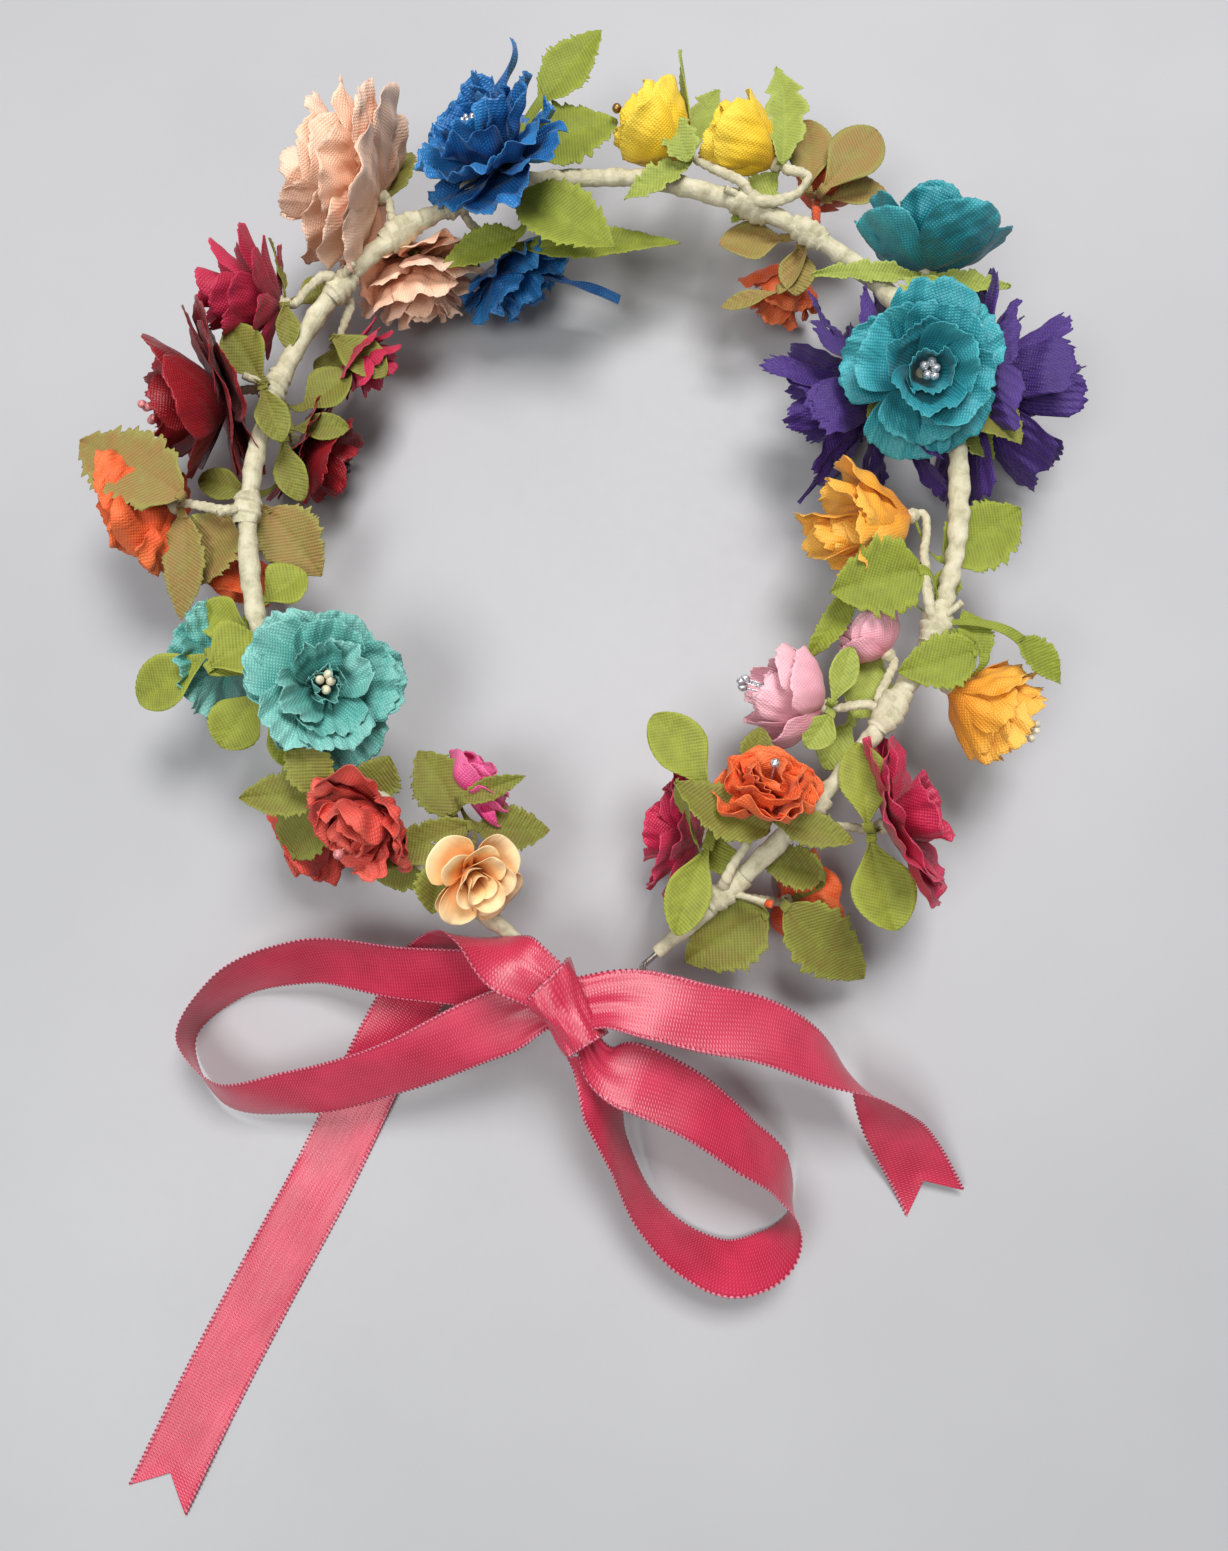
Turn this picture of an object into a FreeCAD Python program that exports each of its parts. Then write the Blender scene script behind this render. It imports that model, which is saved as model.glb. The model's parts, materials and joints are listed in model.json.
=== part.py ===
import FreeCAD, Part
import math
import os
import Sketcher
from FreeCAD import Placement, Rotation, Vector

# Flower crown: a paper-taped wire ring, open at the front, with sixteen bendable picks of two
# fabric flowers each, closed by a satin ribbon tied in a bow. Millimetres, +Z up. The origin is
# the middle of the head opening on the table plane, +X is the wearer's side, -Y is the bow.

DIMENSIONS = {
    "core_wire_diameter": 1.6,
    "ring_tape_diameter": 4.8,
    "core_clearance": 0.05,
    "flex_gap": 0.4,
    "eye_radius": 4.5,
    "eye_wire_diameter": 1.6,
    "collar_clearance": 0.2,
    "collar_wall": 1.4,
    "collar_length": 5.0,
    "stem_diameter": 2.2,
    "knuckle_diameter": 3.6,
    "hub_diameter": 4.4,
    "stamen_diameter": 1.2,
    "stamen_length": 2.0,
    "stamen_spread": 1.3,
    "leaf_thickness": 0.4,
    "ribbon_width": 16.0,
    "ribbon_thickness": 0.4,
    "band_width": 4.0,
    "band_thickness": 1.2,
    "notch_depth": 7.0,
}

# Corners of the ring wire from the left eye round the back to the right eye. Straight runs join
# them, rounded by arcs. The left arc is the root, and the right arc flexes at the back corner.
LEFT_ARC = [
    (-11, -103, 22), (-39, -81, 34), (-67, -55, 36), (-86, -22, 36), (-90, 17, 36),
    (-82, 51, 36), (-61, 83, 36), (-28, 101, 36), (-9, 102, 36),
]
RIGHT_ARC = [
    (-9, 102, 36), (10, 103, 36), (46, 92, 36), (76, 68, 36), (89, 35, 36),
    (87, -6, 36), (70, -41, 36), (43, -71, 35), (9, -101, 22),
]

ON_TABLE = None


def flower(reach, heading, height, face_heading, face_tilt, radius, depth):
    """A flower head: its stem runs level for reach, and its calyx is at height above the table."""
    return {
        "reach": reach, "heading": heading, "height": height,
        "face_heading": face_heading, "face_tilt": face_tilt, "radius": radius, "depth": depth,
    }


def leaf(stem, offset, heading, pitch, roll, length, width):
    """A leaf of the pick, its base at an offset from the calyx of one of the two stems."""
    return {
        "stem": stem, "offset": offset, "heading": heading,
        "pitch": pitch, "roll": roll, "length": length, "width": width,
    }


# The picks in order round the ring: how far along the wire each is bound, its two flowers
# and its leaves. Angles are in degrees from +X and from the level.
PICKS = {
    "cream_pink": {
        "along": 36,
        "flowers": [
            flower(6, 30, 39, -50, 45, 10, 9),
            flower(20, 85, 30, 45, 5, 9, 9),
        ],
        "leaves": [
            leaf(0, (2, 10, -7), 0, -10, 0, 15, 8),
            leaf(0, (-7, 5, -7), -160, -20, -5, 17, 10),
            leaf(0, (-5, 1, 0), -105, -15, -5, 11, 8),
            leaf(0, (1, 10, 0), -160, -5, -5, 24, 7),
            leaf(1, (0, -4, 4), 120, 0, 0, 16, 10),
            leaf(1, (2, -1, 8), 20, 5, 5, 14, 4),
        ],
    },
    "coral": {
        "along": 70,
        "flowers": [
            flower(12, -25, 39, -125, 30, 11, 14),
            flower(9, -140, ON_TABLE, -155, -25, 11, 11),
        ],
        "leaves": [
            leaf(0, (-14, 3, 0), -175, 0, 0, 18, 8),
            leaf(0, (-14, 2, 4), 120, 20, 0, 13, 8),
            leaf(1, (3, 3, 17), -130, -25, 0, 19, 11),
            leaf(0, (-4, 2, -2), 65, 10, 0, 9, 8),
        ],
    },
    "aqua": {
        "along": 104,
        "flowers": [
            flower(14, -25, 40, -20, 70, 18, 11),
            flower(14, 160, 26, 170, -20, 12, 12),
        ],
        "leaves": [
            leaf(1, (-2, -1, 11), -155, -20, 0, 23, 11),
            leaf(1, (10, 1, 14), -145, 10, 0, 13, 12),
            leaf(1, (10, -10, 8), -130, -15, 0, 16, 11),
            leaf(1, (6, 6, 8), 155, -15, 0, 14, 9),
            leaf(0, (-17, 24, -8), 40, 0, 0, 12, 10),
            leaf(0, (-14, -5, -8), -65, -10, 0, 13, 6),
        ],
    },
    "orange": {
        "along": 146,
        "flowers": [
            flower(20, 170, 30, 190, -15, 14, 14),
            flower(7, -160, ON_TABLE, -120, -30, 11, 10),
        ],
        "leaves": [
            leaf(0, (4, -1, 9), 150, -5, 0, 29, 15),
            leaf(0, (2, -3, 2), -95, -15, 0, 23, 8),
            leaf(1, (-1, 4, 14), -115, -15, 0, 17, 12),
            leaf(1, (10, 4, 16), -50, -15, 0, 18, 12),
        ],
    },
    "crimson": {
        "along": 178,
        "flowers": [
            flower(11, 170, 32, 200, 10, 19, 17),
            flower(4, -95, ON_TABLE, -25, -20, 13, 13),
        ],
        "leaves": [
            leaf(0, (9, -2, 8), 120, 5, -5, 16, 10),
            leaf(0, (9, -3, 9), -70, -5, 0, 14, 7),
            leaf(0, (-5, 5, 0), 110, -5, 85, 21, 5),
            leaf(1, (5, 3, 11), 40, 0, 0, 15, 10),
            leaf(1, (2, -2, 10), 5, -5, 0, 14, 6),
            leaf(1, (2, -7, 15), -75, -15, 0, 15, 7),
            leaf(1, (-8, -19, 7), 160, 0, 0, 14, 7),
        ],
    },
    "cherry": {
        "along": 211,
        "flowers": [
            flower(14, -155, 37, 175, 10, 13, 17),
            flower(11, -95, 26, -30, -25, 9, 11),
        ],
        "leaves": [
            leaf(0, (0, -1, 3), -85, -5, 0, 11, 5),
            leaf(0, (0, 1, 2), 105, 0, 90, 16, 4),
            leaf(0, (1, 2, -2), 40, -20, 0, 12, 7),
            leaf(1, (-3, 1, 3), -35, 0, 0, 17, 9),
            leaf(1, (-3, 2, -3), -95, -10, -5, 11, 8),
        ],
    },
    "peach": {
        "along": 233,
        "flowers": [
            flower(10, 115, 36, 165, 10, 19, 19),
            flower(5, 95, ON_TABLE, -80, -30, 16, 14),
        ],
        "leaves": [
            leaf(0, (0, 5, -4), 80, -25, 0, 20, 7),
            leaf(1, (3, -6, 5), 165, -35, 0, 16, 6),
        ],
    },
    "blue": {
        "along": 250,
        "flowers": [
            flower(13, 20, 42, 145, 50, 16, 13),
            flower(9, -20, ON_TABLE, -45, -25, 14, 12),
        ],
        "leaves": [
            leaf(0, (9, 22, -2), 50, 10, 0, 21, 9),
            leaf(0, (8, 7, -3), 30, -5, 0, 21, 14),
            leaf(0, (3, -6, -2), -30, 0, 0, 25, 13),
            leaf(1, (7, -6, 17), -160, -5, 0, 19, 7),
            leaf(1, (8, -5, 10), 5, 0, 0, 36, 7),
        ],
    },
    "yellow": {
        "along": 328,
        "flowers": [
            flower(20, 140, 38, 145, 5, 9, 18),
            flower(14, 55, 36, 150, 5, 9, 18),
        ],
        "leaves": [
            leaf(0, (-1, -4, 3), -155, -10, 0, 16, 7),
            leaf(0, (-1, -5, 5), 115, 10, 0, 11, 8),
            leaf(0, (0, 0, 3), 95, 0, 90, 25, 5),
            leaf(0, (0, 3, -2), 70, -10, -5, 21, 7),
            leaf(1, (0, -2, 4), 90, -5, 5, 27, 9),
            leaf(1, (-1, -1, -2), -135, -15, 5, 14, 9),
        ],
    },
    "vermilion": {
        "along": 345,
        "flowers": [
            flower(17, 75, 28, 65, -15, 11, 14),
            flower(5, 95, ON_TABLE, -110, -35, 12, 14),
        ],
        "leaves": [
            leaf(0, (-4, -2, 5), 90, -5, 0, 21, 11),
            leaf(0, (0, -3, 7), 50, 0, 0, 22, 12),
            leaf(0, (2, -2, 1), 15, -5, 0, 16, 8),
            leaf(1, (-5, -3, 12), -175, 0, 5, 16, 11),
            leaf(1, (-1, -5, 12), -95, -10, 0, 12, 8),
            leaf(1, (-6, -16, 9), -170, -10, 0, 15, 4),
        ],
    },
    "teal": {
        "along": 387,
        "flowers": [
            flower(18, 85, 35, 80, 15, 16, 19),
            flower(6, -130, 42, -95, 65, 18, 12),
        ],
        "leaves": [
            leaf(0, (-1, -2, 5), -95, 15, 0, 13, 11),
            leaf(0, (-3, -1, 3), -175, 10, 0, 24, 5),
            leaf(0, (1, -1, 3), -5, -5, 0, 18, 5),
            leaf(1, (9, -10, -11), -45, -5, -5, 17, 11),
        ],
    },
    "purple": {
        "along": 401,
        "flowers": [
            flower(7, 35, ON_TABLE, -2, -10, 25, 17),
            flower(10, 150, ON_TABLE, 190, -15, 24, 20),
        ],
        "leaves": [
            leaf(0, (2, -8, 6), -50, 20, 0, 14, 9),
            leaf(1, (-2, -8, 5), -130, 15, 0, 12, 8),
        ],
    },
    "amber": {
        "along": 464,
        "flowers": [
            flower(30, 95, 32, 195, 0, 15, 23),
            flower(14, -80, 31, -25, -10, 14, 20),
        ],
        "leaves": [
            leaf(0, (7, -12, 0), 35, 0, 0, 21, 13),
            leaf(0, (-1, -17, 7), -165, 5, -10, 20, 14),
            leaf(0, (-17, -20, 1), -125, -10, 5, 18, 5),
            leaf(0, (5, -23, 0), 75, 5, 0, 9, 5),
            leaf(1, (6, 6, 9), -165, 0, 0, 17, 10),
            leaf(1, (16, 9, 9), -40, -15, 0, 14, 6),
            leaf(1, (5, 16, 6), -75, 10, 0, 12, 6),
        ],
    },
    "pink": {
        "along": 489,
        "flowers": [
            flower(14, 170, 30, 165, 5, 11, 14),
            flower(16, 80, 27, 130, 0, 8, 10),
        ],
        "leaves": [
            leaf(0, (0, 0, 4), 70, 0, 0, 14, 6),
            leaf(0, (0, -2, 4), -125, 0, 0, 10, 7),
            leaf(0, (7, 0, -3), 65, -15, 5, 19, 12),
            leaf(0, (7, -2, -6), -120, -10, 0, 13, 8),
        ],
    },
    "raspberry": {
        "along": 521,
        "flowers": [
            flower(18, -10, 30, 20, 25, 19, 13),
            flower(22, -170, ON_TABLE, 165, -5, 16, 15),
        ],
        "leaves": [
            leaf(0, (-4, -1, 8), 95, 5, 0, 19, 10),
            leaf(0, (-3, -3, 6), -75, -5, 0, 21, 13),
            leaf(1, (-2, 9, 19), 125, 0, 0, 21, 11),
            leaf(1, (-5, -4, 19), 105, 10, 90, 15, 8),
            leaf(1, (-2, -4, 18), -110, -5, 0, 21, 9),
            leaf(1, (1, -1, 13), -90, 10, 0, 9, 7),
        ],
    },
    "tangerine": {
        "along": 548,
        "flowers": [
            flower(20, 65, 40, 80, 50, 12, 9),
            flower(16, -5, ON_TABLE, 5, -25, 10, 14),
        ],
        "leaves": [
            leaf(0, (1, -5, 1), 155, 15, 5, 22, 9),
            leaf(0, (4, -3, -1), -15, 5, 0, 15, 6),
            leaf(0, (-3, 10, -2), 75, -10, 0, 10, 6),
            leaf(1, (-5, 8, 12), -10, -15, 0, 14, 8),
            leaf(1, (-6, -4, 10), -150, -10, 0, 20, 13),
            leaf(1, (-1, -2, 8), -40, -20, 0, 25, 12),
        ],
    },
}

# Ribbon stations: the middle of the ribbon, and its lean, the turn of its width about its
# length, where 0 lies flat and 90 stands on edge.
LEFT_TURN = [
    ((-13, -106, 38.5), 0), ((-21, -101, 40), -15), ((-30, -95, 36), -65), ((-38, -92, 25), -115),
    ((-45, -100, 16), -150), ((-50, -109, 9), -175),
]
LEFT_TAIL = [
    ((-50, -110, 8.5), 5), ((-58, -124, 4), 2), ((-65, -139, 1.5), 0), ((-73, -156, 0.5), 0),
    ((-85, -179, 0.5), 0), ((-97, -203, 0.5), 0), ((-109, -229, 0.5), 0),
]
LEFT_LOOP = [
    ((-14, -107, 28), 10), ((-29, -103, 26), 25), ((-50, -101, 21), 38), ((-76, -99, 14), 50),
    ((-96, -106, 10), 72), ((-106, -119, 9), 90), ((-97, -132, 11), 112), ((-75, -132, 16), 132),
    ((-50, -125, 23), 145), ((-29, -116, 30), 158), ((-15, -111, 33), 168),
]
RIGHT_TAIL = [
    ((2, -107, 39), 5), ((12, -109, 38.5), 8), ((22, -112, 36.5), 12), ((36, -116, 32), 22),
    ((51, -123, 25), 45), ((63, -132, 18), 95), ((71, -143, 11), 140), ((78, -153, 5), 160),
    ((83, -163, 2), 170),
]
RIGHT_LOOP = [
    ((-1, -124, 30), 10), ((9, -128, 29), 14), ((21, -134, 26), 22), ((33, -143, 20), 40),
    ((43, -153, 14), 65), ((47, -164, 11), 95), ((42, -173, 11), 125), ((31, -177, 10), 135),
    ((20, -173, 10), 125), ((11, -161, 11), 112), ((4, -146, 15), 112), ((-1, -131, 23), 140),
]
KNOT_CENTRE = Vector(-5, -109, 33)
KNOT_RADII = (5.5, 12.0, 5.0)
KNOT_HEADING = 12.0
BAND_START = Vector(-18, -108.2, 22)
BAND_END = Vector(32, -103.2, 22)
RIBBON_SECTIONS_PER_RUN = 3

document = FreeCAD.newDocument("FlowerCrown")
sheet = document.addObject("Spreadsheet::Sheet", "Dimensions")


def fill_sheet():
    """Writes every driving dimension to the sheet as a named cell."""
    values = dict(DIMENSIONS)
    for pick_name, pick in PICKS.items():
        for number, head in enumerate(pick["flowers"], 1):
            values[f"{pick_name}_flower{number}_radius"] = head["radius"]
            values[f"{pick_name}_flower{number}_depth"] = head["depth"]
        for number, blade in enumerate(pick["leaves"], 1):
            values[f"{pick_name}_leaf{number}_length"] = blade["length"]
            values[f"{pick_name}_leaf{number}_width"] = blade["width"]
    for row, (alias, value) in enumerate(values.items(), 1):
        sheet.set(f"A{row}", alias)
        sheet.set(f"B{row}", str(value))
        sheet.setAlias(f"B{row}", alias)
    document.recompute()


def dimension(alias):
    return float(sheet.get(alias))


def bind(obj, **sizes):
    """Ties properties of an object to expressions over the sheet's cells."""
    for path, expression in sizes.items():
        obj.setExpression(path, expression)


def direction(heading, tilt):
    """The unit vector at a heading from +X and a tilt above the level, in degrees."""
    level = math.cos(math.radians(tilt))
    return Vector(
        level * math.cos(math.radians(heading)),
        level * math.sin(math.radians(heading)),
        math.sin(math.radians(tilt)),
    )


def turned_to(axis):
    """The rotation that carries +Z to an axis."""
    return Rotation(Vector(0, 0, 1), axis)


# ---- the ring wire's path

def corner_arc(before, corner, after):
    """The arc that rounds a corner, and its two tangent points."""
    back = before - corner
    ahead = after - corner
    shorter = min(back.Length, ahead.Length)
    back.normalize()
    ahead.normalize()
    cut = 0.45 * shorter
    start = corner + back * cut
    end = corner + ahead * cut
    half_turn = (math.pi - back.getAngle(ahead)) / 2
    radius = cut / math.tan(half_turn)
    inward = back + ahead
    inward.normalize()
    middle = corner + inward * (radius / math.cos(half_turn) - radius)
    return start, middle, end, radius


def rounded_path(corners, start_trim=0.0, end_trim=0.0):
    """A wire of straight runs and tangent arcs through the corners, trimmed at its ends."""
    points = [Vector(*corner) for corner in corners]
    first_run = points[1] - points[0]
    last_run = points[-2] - points[-1]
    points[0] = points[0] + first_run * (start_trim / first_run.Length)
    points[-1] = points[-1] + last_run * (end_trim / last_run.Length)
    edges = []
    reached = points[0]
    for before, corner, after in zip(points, points[1:], points[2:]):
        start, middle, end, radius = corner_arc(before, corner, after)
        edges.append(Part.LineSegment(reached, start).toShape())
        edges.append(Part.Arc(start, middle, end).toShape())
        reached = end
    edges.append(Part.LineSegment(reached, points[-1]).toShape())
    return Part.Wire(edges)


def point_along(path, distance):
    """The point and tangent at a distance along a path."""
    for edge in path.OrderedEdges:
        if distance <= edge.Length:
            parameter = edge.getParameterByLength(distance)
            return edge.valueAt(parameter), edge.tangentAt(parameter)
        distance -= edge.Length
    raise ValueError("the distance is past the end of the path")


def tube(path, radius):
    """A round bar along a path."""
    start = path.OrderedEdges[0].valueAt(path.OrderedEdges[0].FirstParameter)
    heading = path.OrderedEdges[0].tangentAt(path.OrderedEdges[0].FirstParameter)
    section = Part.Wire([Part.Circle(start, heading, radius).toShape()])
    bar = path.makePipeShell([section], True, True)
    expected = math.pi * radius ** 2 * path.Length
    if abs(bar.Volume - expected) > 0.02 * expected:
        raise ValueError("a bar's volume is not its section times its length")
    return bar


def ring_root(along):
    """Where a pick is bound to the ring: point, tangent and the arc that carries it."""
    left = rounded_path(LEFT_ARC)
    if along < left.Length:
        point, tangent = point_along(left, along)
        return point, tangent, "left"
    point, tangent = point_along(rounded_path(RIGHT_ARC), along - left.Length)
    return point, tangent, "right"


def add_feature(name, shape):
    feature = document.addObject("Part::Feature", name)
    feature.Label = name
    feature.Shape = shape
    feature.Placement = Placement()
    return feature


def ring_arc(side, corners):
    """One half of the ring: a steel core with a bent eye at its front end, and its paper tape."""
    core_radius = dimension("core_wire_diameter") / 2
    tape_radius = dimension("ring_tape_diameter") / 2
    half_gap = dimension("flex_gap") / 2
    eye_radius = dimension("eye_radius")
    trims = (0.0, half_gap) if side == "left" else (half_gap, 0.0)
    core_path = rounded_path(corners, *trims)
    front = Vector(*(corners[0] if side == "left" else corners[-1]))
    eye_centre = front - Vector(0, eye_radius, 0)
    eye = Part.makeTorus(eye_radius, dimension("eye_wire_diameter") / 2, eye_centre, Vector(1, 0, 0))
    core = tube(core_path, core_radius).fuse(eye)
    add_feature(f"ring_wire_{side}", core)

    eye_room = 3.0
    tape_trims = (eye_room, half_gap) if side == "left" else (half_gap, eye_room)
    tape_path = rounded_path(corners, *tape_trims)
    bore = tube(core_path, core_radius + dimension("core_clearance"))
    tape = tube(tape_path, tape_radius).cut(bore)
    add_feature(f"ring_tape_{side}", tape)
    return [f"ring_wire_{side}", f"ring_tape_{side}"]


# ---- the picks

def calyx_point(root, head):
    """The point where a stem ends under its flower. A head on the table touches it with its rim."""
    heading = direction(head["heading"], 0)
    face = direction(head["face_heading"], head["face_tilt"])
    height = head["height"]
    if height is ON_TABLE:
        rise = math.hypot(face.x, face.y) * head["radius"]
        height = rise - face.z * (dimension("knuckle_diameter") / 2 + head["depth"])
    point = root + heading * head["reach"]
    point.z = height
    return point, face


def stem_start(root, tangent, calyx):
    """Where a stem leaves its collar: on the side of the ring that faces the calyx."""
    run = calyx - root
    aside = run - tangent * run.dot(tangent)
    if aside.Length < 0.6 * run.Length:
        aside = aside + Vector(0, 0, run.Length)
        aside = aside - tangent * aside.dot(tangent)
    aside.normalize()
    clear = (dimension("ring_tape_diameter") + dimension("stem_diameter")) / 2
    return root + aside * (clear + dimension("collar_clearance"))


def stems(name, root, tangent, calyxes):
    """The paper-wrapped twin stem: a collar bound round the ring, two stems and their knuckles."""
    collar = document.addObject("Part::Cylinder", f"{name}_collar")
    bore = document.addObject("Part::Cylinder", f"{name}_bore")
    bore_size = "Dimensions.ring_tape_diameter / 2 + Dimensions.collar_clearance"
    bind(collar, Radius=f"{bore_size} + Dimensions.collar_wall", Height="Dimensions.collar_length")
    bore_length = dimension("collar_length") + 2
    bind(bore, Radius=bore_size, Height="Dimensions.collar_length + 2")
    collar.Placement = Placement(root - tangent * (dimension("collar_length") / 2), turned_to(tangent))
    bore.Placement = Placement(root - tangent * (bore_length / 2), turned_to(tangent))
    pieces = [collar]
    for number, calyx in enumerate(calyxes, 1):
        start = stem_start(root, tangent, calyx)
        run = calyx - start
        stem = document.addObject("Part::Cylinder", f"{name}_stem{number}")
        bind(stem, Radius="Dimensions.stem_diameter / 2")
        stem.Height = run.Length
        stem.Placement = Placement(start, turned_to(run))
        knuckle = document.addObject("Part::Sphere", f"{name}_knuckle{number}")
        bind(knuckle, Radius="Dimensions.knuckle_diameter / 2")
        knuckle.Placement = Placement(calyx, Rotation())
        pieces += [stem, knuckle]
    whole = document.addObject("Part::MultiFuse", f"{name}_wire")
    whole.Shapes = pieces
    hollow = document.addObject("Part::Cut", f"{name}_stem")
    hollow.Label = f"{name}_stem"
    hollow.Base = whole
    hollow.Tool = bore
    return hollow.Label


def origin_plane(body, role):
    return next(item for item in body.Origin.OriginFeatures if item.Role == role)


def petal_head(name, size_stem, placement):
    """The petals of one flower as a plain turned cone on the knuckle of its stem."""
    body = document.addObject("PartDesign::Body", name)
    sketch = body.newObject("Sketcher::SketchObject", f"{name}_profile")
    sketch.AttachmentSupport = [(origin_plane(body, "XZ_Plane"), "")]
    sketch.MapMode = "FlatFace"
    hub = dimension("hub_diameter") / 2
    rim = dimension(f"{size_stem}_radius")
    depth = dimension(f"{size_stem}_depth")
    outline = [(0, 0), (hub, 0), (rim, depth), (0, depth)]
    for index, (across, up) in enumerate(outline):
        onward = outline[(index + 1) % len(outline)]
        line = Part.LineSegment(Vector(across, up, 0), Vector(onward[0], onward[1], 0))
        sketch.addGeometry(line, False)
    for index in range(len(outline)):
        following = (index + 1) % len(outline)
        sketch.addConstraint(Sketcher.Constraint("Coincident", index, 2, following, 1))
    sketch.addConstraint(Sketcher.Constraint("Coincident", 0, 1, -1, 1))
    sketch.addConstraint(Sketcher.Constraint("Horizontal", 0))
    sketch.addConstraint(Sketcher.Constraint("Horizontal", 2))
    sketch.addConstraint(Sketcher.Constraint("Vertical", 3))
    measures = [
        ("hub", "DistanceX", 1, hub, "Dimensions.hub_diameter / 2"),
        ("rim", "DistanceX", 2, rim, f"Dimensions.{size_stem}_radius"),
        ("depth", "DistanceY", 2, depth, f"Dimensions.{size_stem}_depth"),
    ]
    for label, kind, line, value, expression in measures:
        index = sketch.addConstraint(Sketcher.Constraint(kind, -1, 1, line, 1, value))
        sketch.renameConstraint(index, label)
        sketch.setExpression(f"Constraints.{label}", expression)
    turning = body.newObject("PartDesign::Revolution", f"{name}_turning")
    turning.Profile = sketch
    turning.ReferenceAxis = (sketch, ["V_Axis"])
    turning.Angle = 360
    body.Placement = placement
    return body


def stamens(name, size_stem, placement):
    """Four beaded stamens that stand on the middle of the flower's face."""
    stamen_count = 4
    face = dimension(f"{size_stem}_depth")
    spread = dimension("stamen_spread")
    pieces = []
    for index in range(stamen_count):
        turn = 2 * math.pi * index / stamen_count
        foot = Vector(spread * math.cos(turn), spread * math.sin(turn), face)
        stamen = document.addObject("Part::Cylinder", f"{name}_{index + 1}")
        bind(stamen, Radius="Dimensions.stamen_diameter / 2", Height="Dimensions.stamen_length")
        stamen.Placement = placement.multiply(Placement(foot, Rotation()))
        pieces.append(stamen)
    return pieces


def leaf_blade(name, size_stem, placement):
    """A pointed leaf: the common part of two discs."""
    length = f"Dimensions.{size_stem}_length"
    width = f"Dimensions.{size_stem}_width"
    radius = f"({length} ^ 2 + {width} ^ 2) / (4 * {width})"
    halves = []
    for side, sign in (("near", "-"), ("far", "")):
        disc = document.addObject("Part::Cylinder", f"{name}_{side}")
        bind(disc, Radius=radius, Height="Dimensions.leaf_thickness")
        disc.setExpression(".Placement.Base.x", f"{length} / 2")
        disc.setExpression(".Placement.Base.y", f"{sign}({radius} - {width} / 2)")
        disc.setExpression(".Placement.Base.z", "-Dimensions.leaf_thickness / 2")
        halves.append(disc)
    blade = document.addObject("Part::Common", name)
    blade.Base = halves[0]
    blade.Tool = halves[1]
    blade.Placement = placement
    return blade


def group(name, members):
    """One node of several solids."""
    compound = document.addObject("Part::Compound", name)
    compound.Label = name
    compound.Links = members
    return name


def leaf_placement(calyx, blade):
    """A leaf's frame: X along its length, Y across it, at its own heading, pitch and roll."""
    attitude = Rotation(Vector(0, 0, 1), blade["heading"])
    attitude = attitude.multiply(Rotation(Vector(0, 1, 0), -blade["pitch"]))
    attitude = attitude.multiply(Rotation(Vector(1, 0, 0), blade["roll"]))
    return Placement(calyx + Vector(*blade["offset"]), attitude)


def pick(name, design):
    """One pick: its stems, its two flowers and its leaves, bound to the ring at its root."""
    root, tangent, side = ring_root(design["along"])
    ends = [calyx_point(root, head) for head in design["flowers"]]
    nodes = [stems(name, root, tangent, [calyx for calyx, face in ends])]
    knuckle = dimension("knuckle_diameter") / 2
    members = []
    for number, (calyx, face) in enumerate(ends, 1):
        placement = Placement(calyx + face * knuckle, turned_to(face))
        size_stem = f"{name}_flower{number}"
        members.append(petal_head(f"{name}_petals{number}", size_stem, placement))
        members += stamens(f"{name}_stamen{number}", size_stem, placement)
    nodes.append(group(f"{name}_flowers", members))
    blades = []
    for number, blade in enumerate(design["leaves"], 1):
        calyx = ends[blade["stem"]][0]
        placement = leaf_placement(calyx, blade)
        blades.append(leaf_blade(f"{name}_leaf{number}", f"{name}_leaf{number}", placement))
    nodes.append(group(f"{name}_leaves", blades))
    return nodes


# ---- the ribbon

def ribbon_frames(stations):
    """Smooth frames along a ribbon: middle, across and through directions at each section."""
    line = Part.BSplineCurve()
    line.interpolate([Vector(*middle) for middle, lean in stations])
    marks = [line.parameter(Vector(*middle)) for middle, lean in stations]
    frames = []
    for index in range(len(stations) - 1):
        last = index == len(stations) - 2
        for step in range(RIBBON_SECTIONS_PER_RUN + (1 if last else 0)):
            share = step / RIBBON_SECTIONS_PER_RUN
            mark = marks[index] + share * (marks[index + 1] - marks[index])
            lean = stations[index][1] + share * (stations[index + 1][1] - stations[index][1])
            tangent = line.tangent(mark)[0]
            side = tangent.cross(Vector(0, 0, 1))
            side.normalize()
            upward = side.cross(tangent)
            turn = math.radians(lean)
            across = side * math.cos(turn) + upward * math.sin(turn)
            frames.append((line.value(mark), across, across.cross(tangent)))
    return frames


def ribbon_strip(stations):
    """A flat strip of ribbon as a solid through all its sections."""
    half_width = dimension("ribbon_width") / 2
    half_thickness = dimension("ribbon_thickness") / 2
    sections = []
    for middle, across, through in ribbon_frames(stations):
        corners = []
        for wide, deep in ((-1, -1), (1, -1), (1, 1), (-1, 1)):
            corners.append(middle + across * (wide * half_width) + through * (deep * half_thickness))
        corners.append(corners[0])
        sections.append(Part.makePolygon(corners))
    return Part.makeLoft(sections, True, True)


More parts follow.
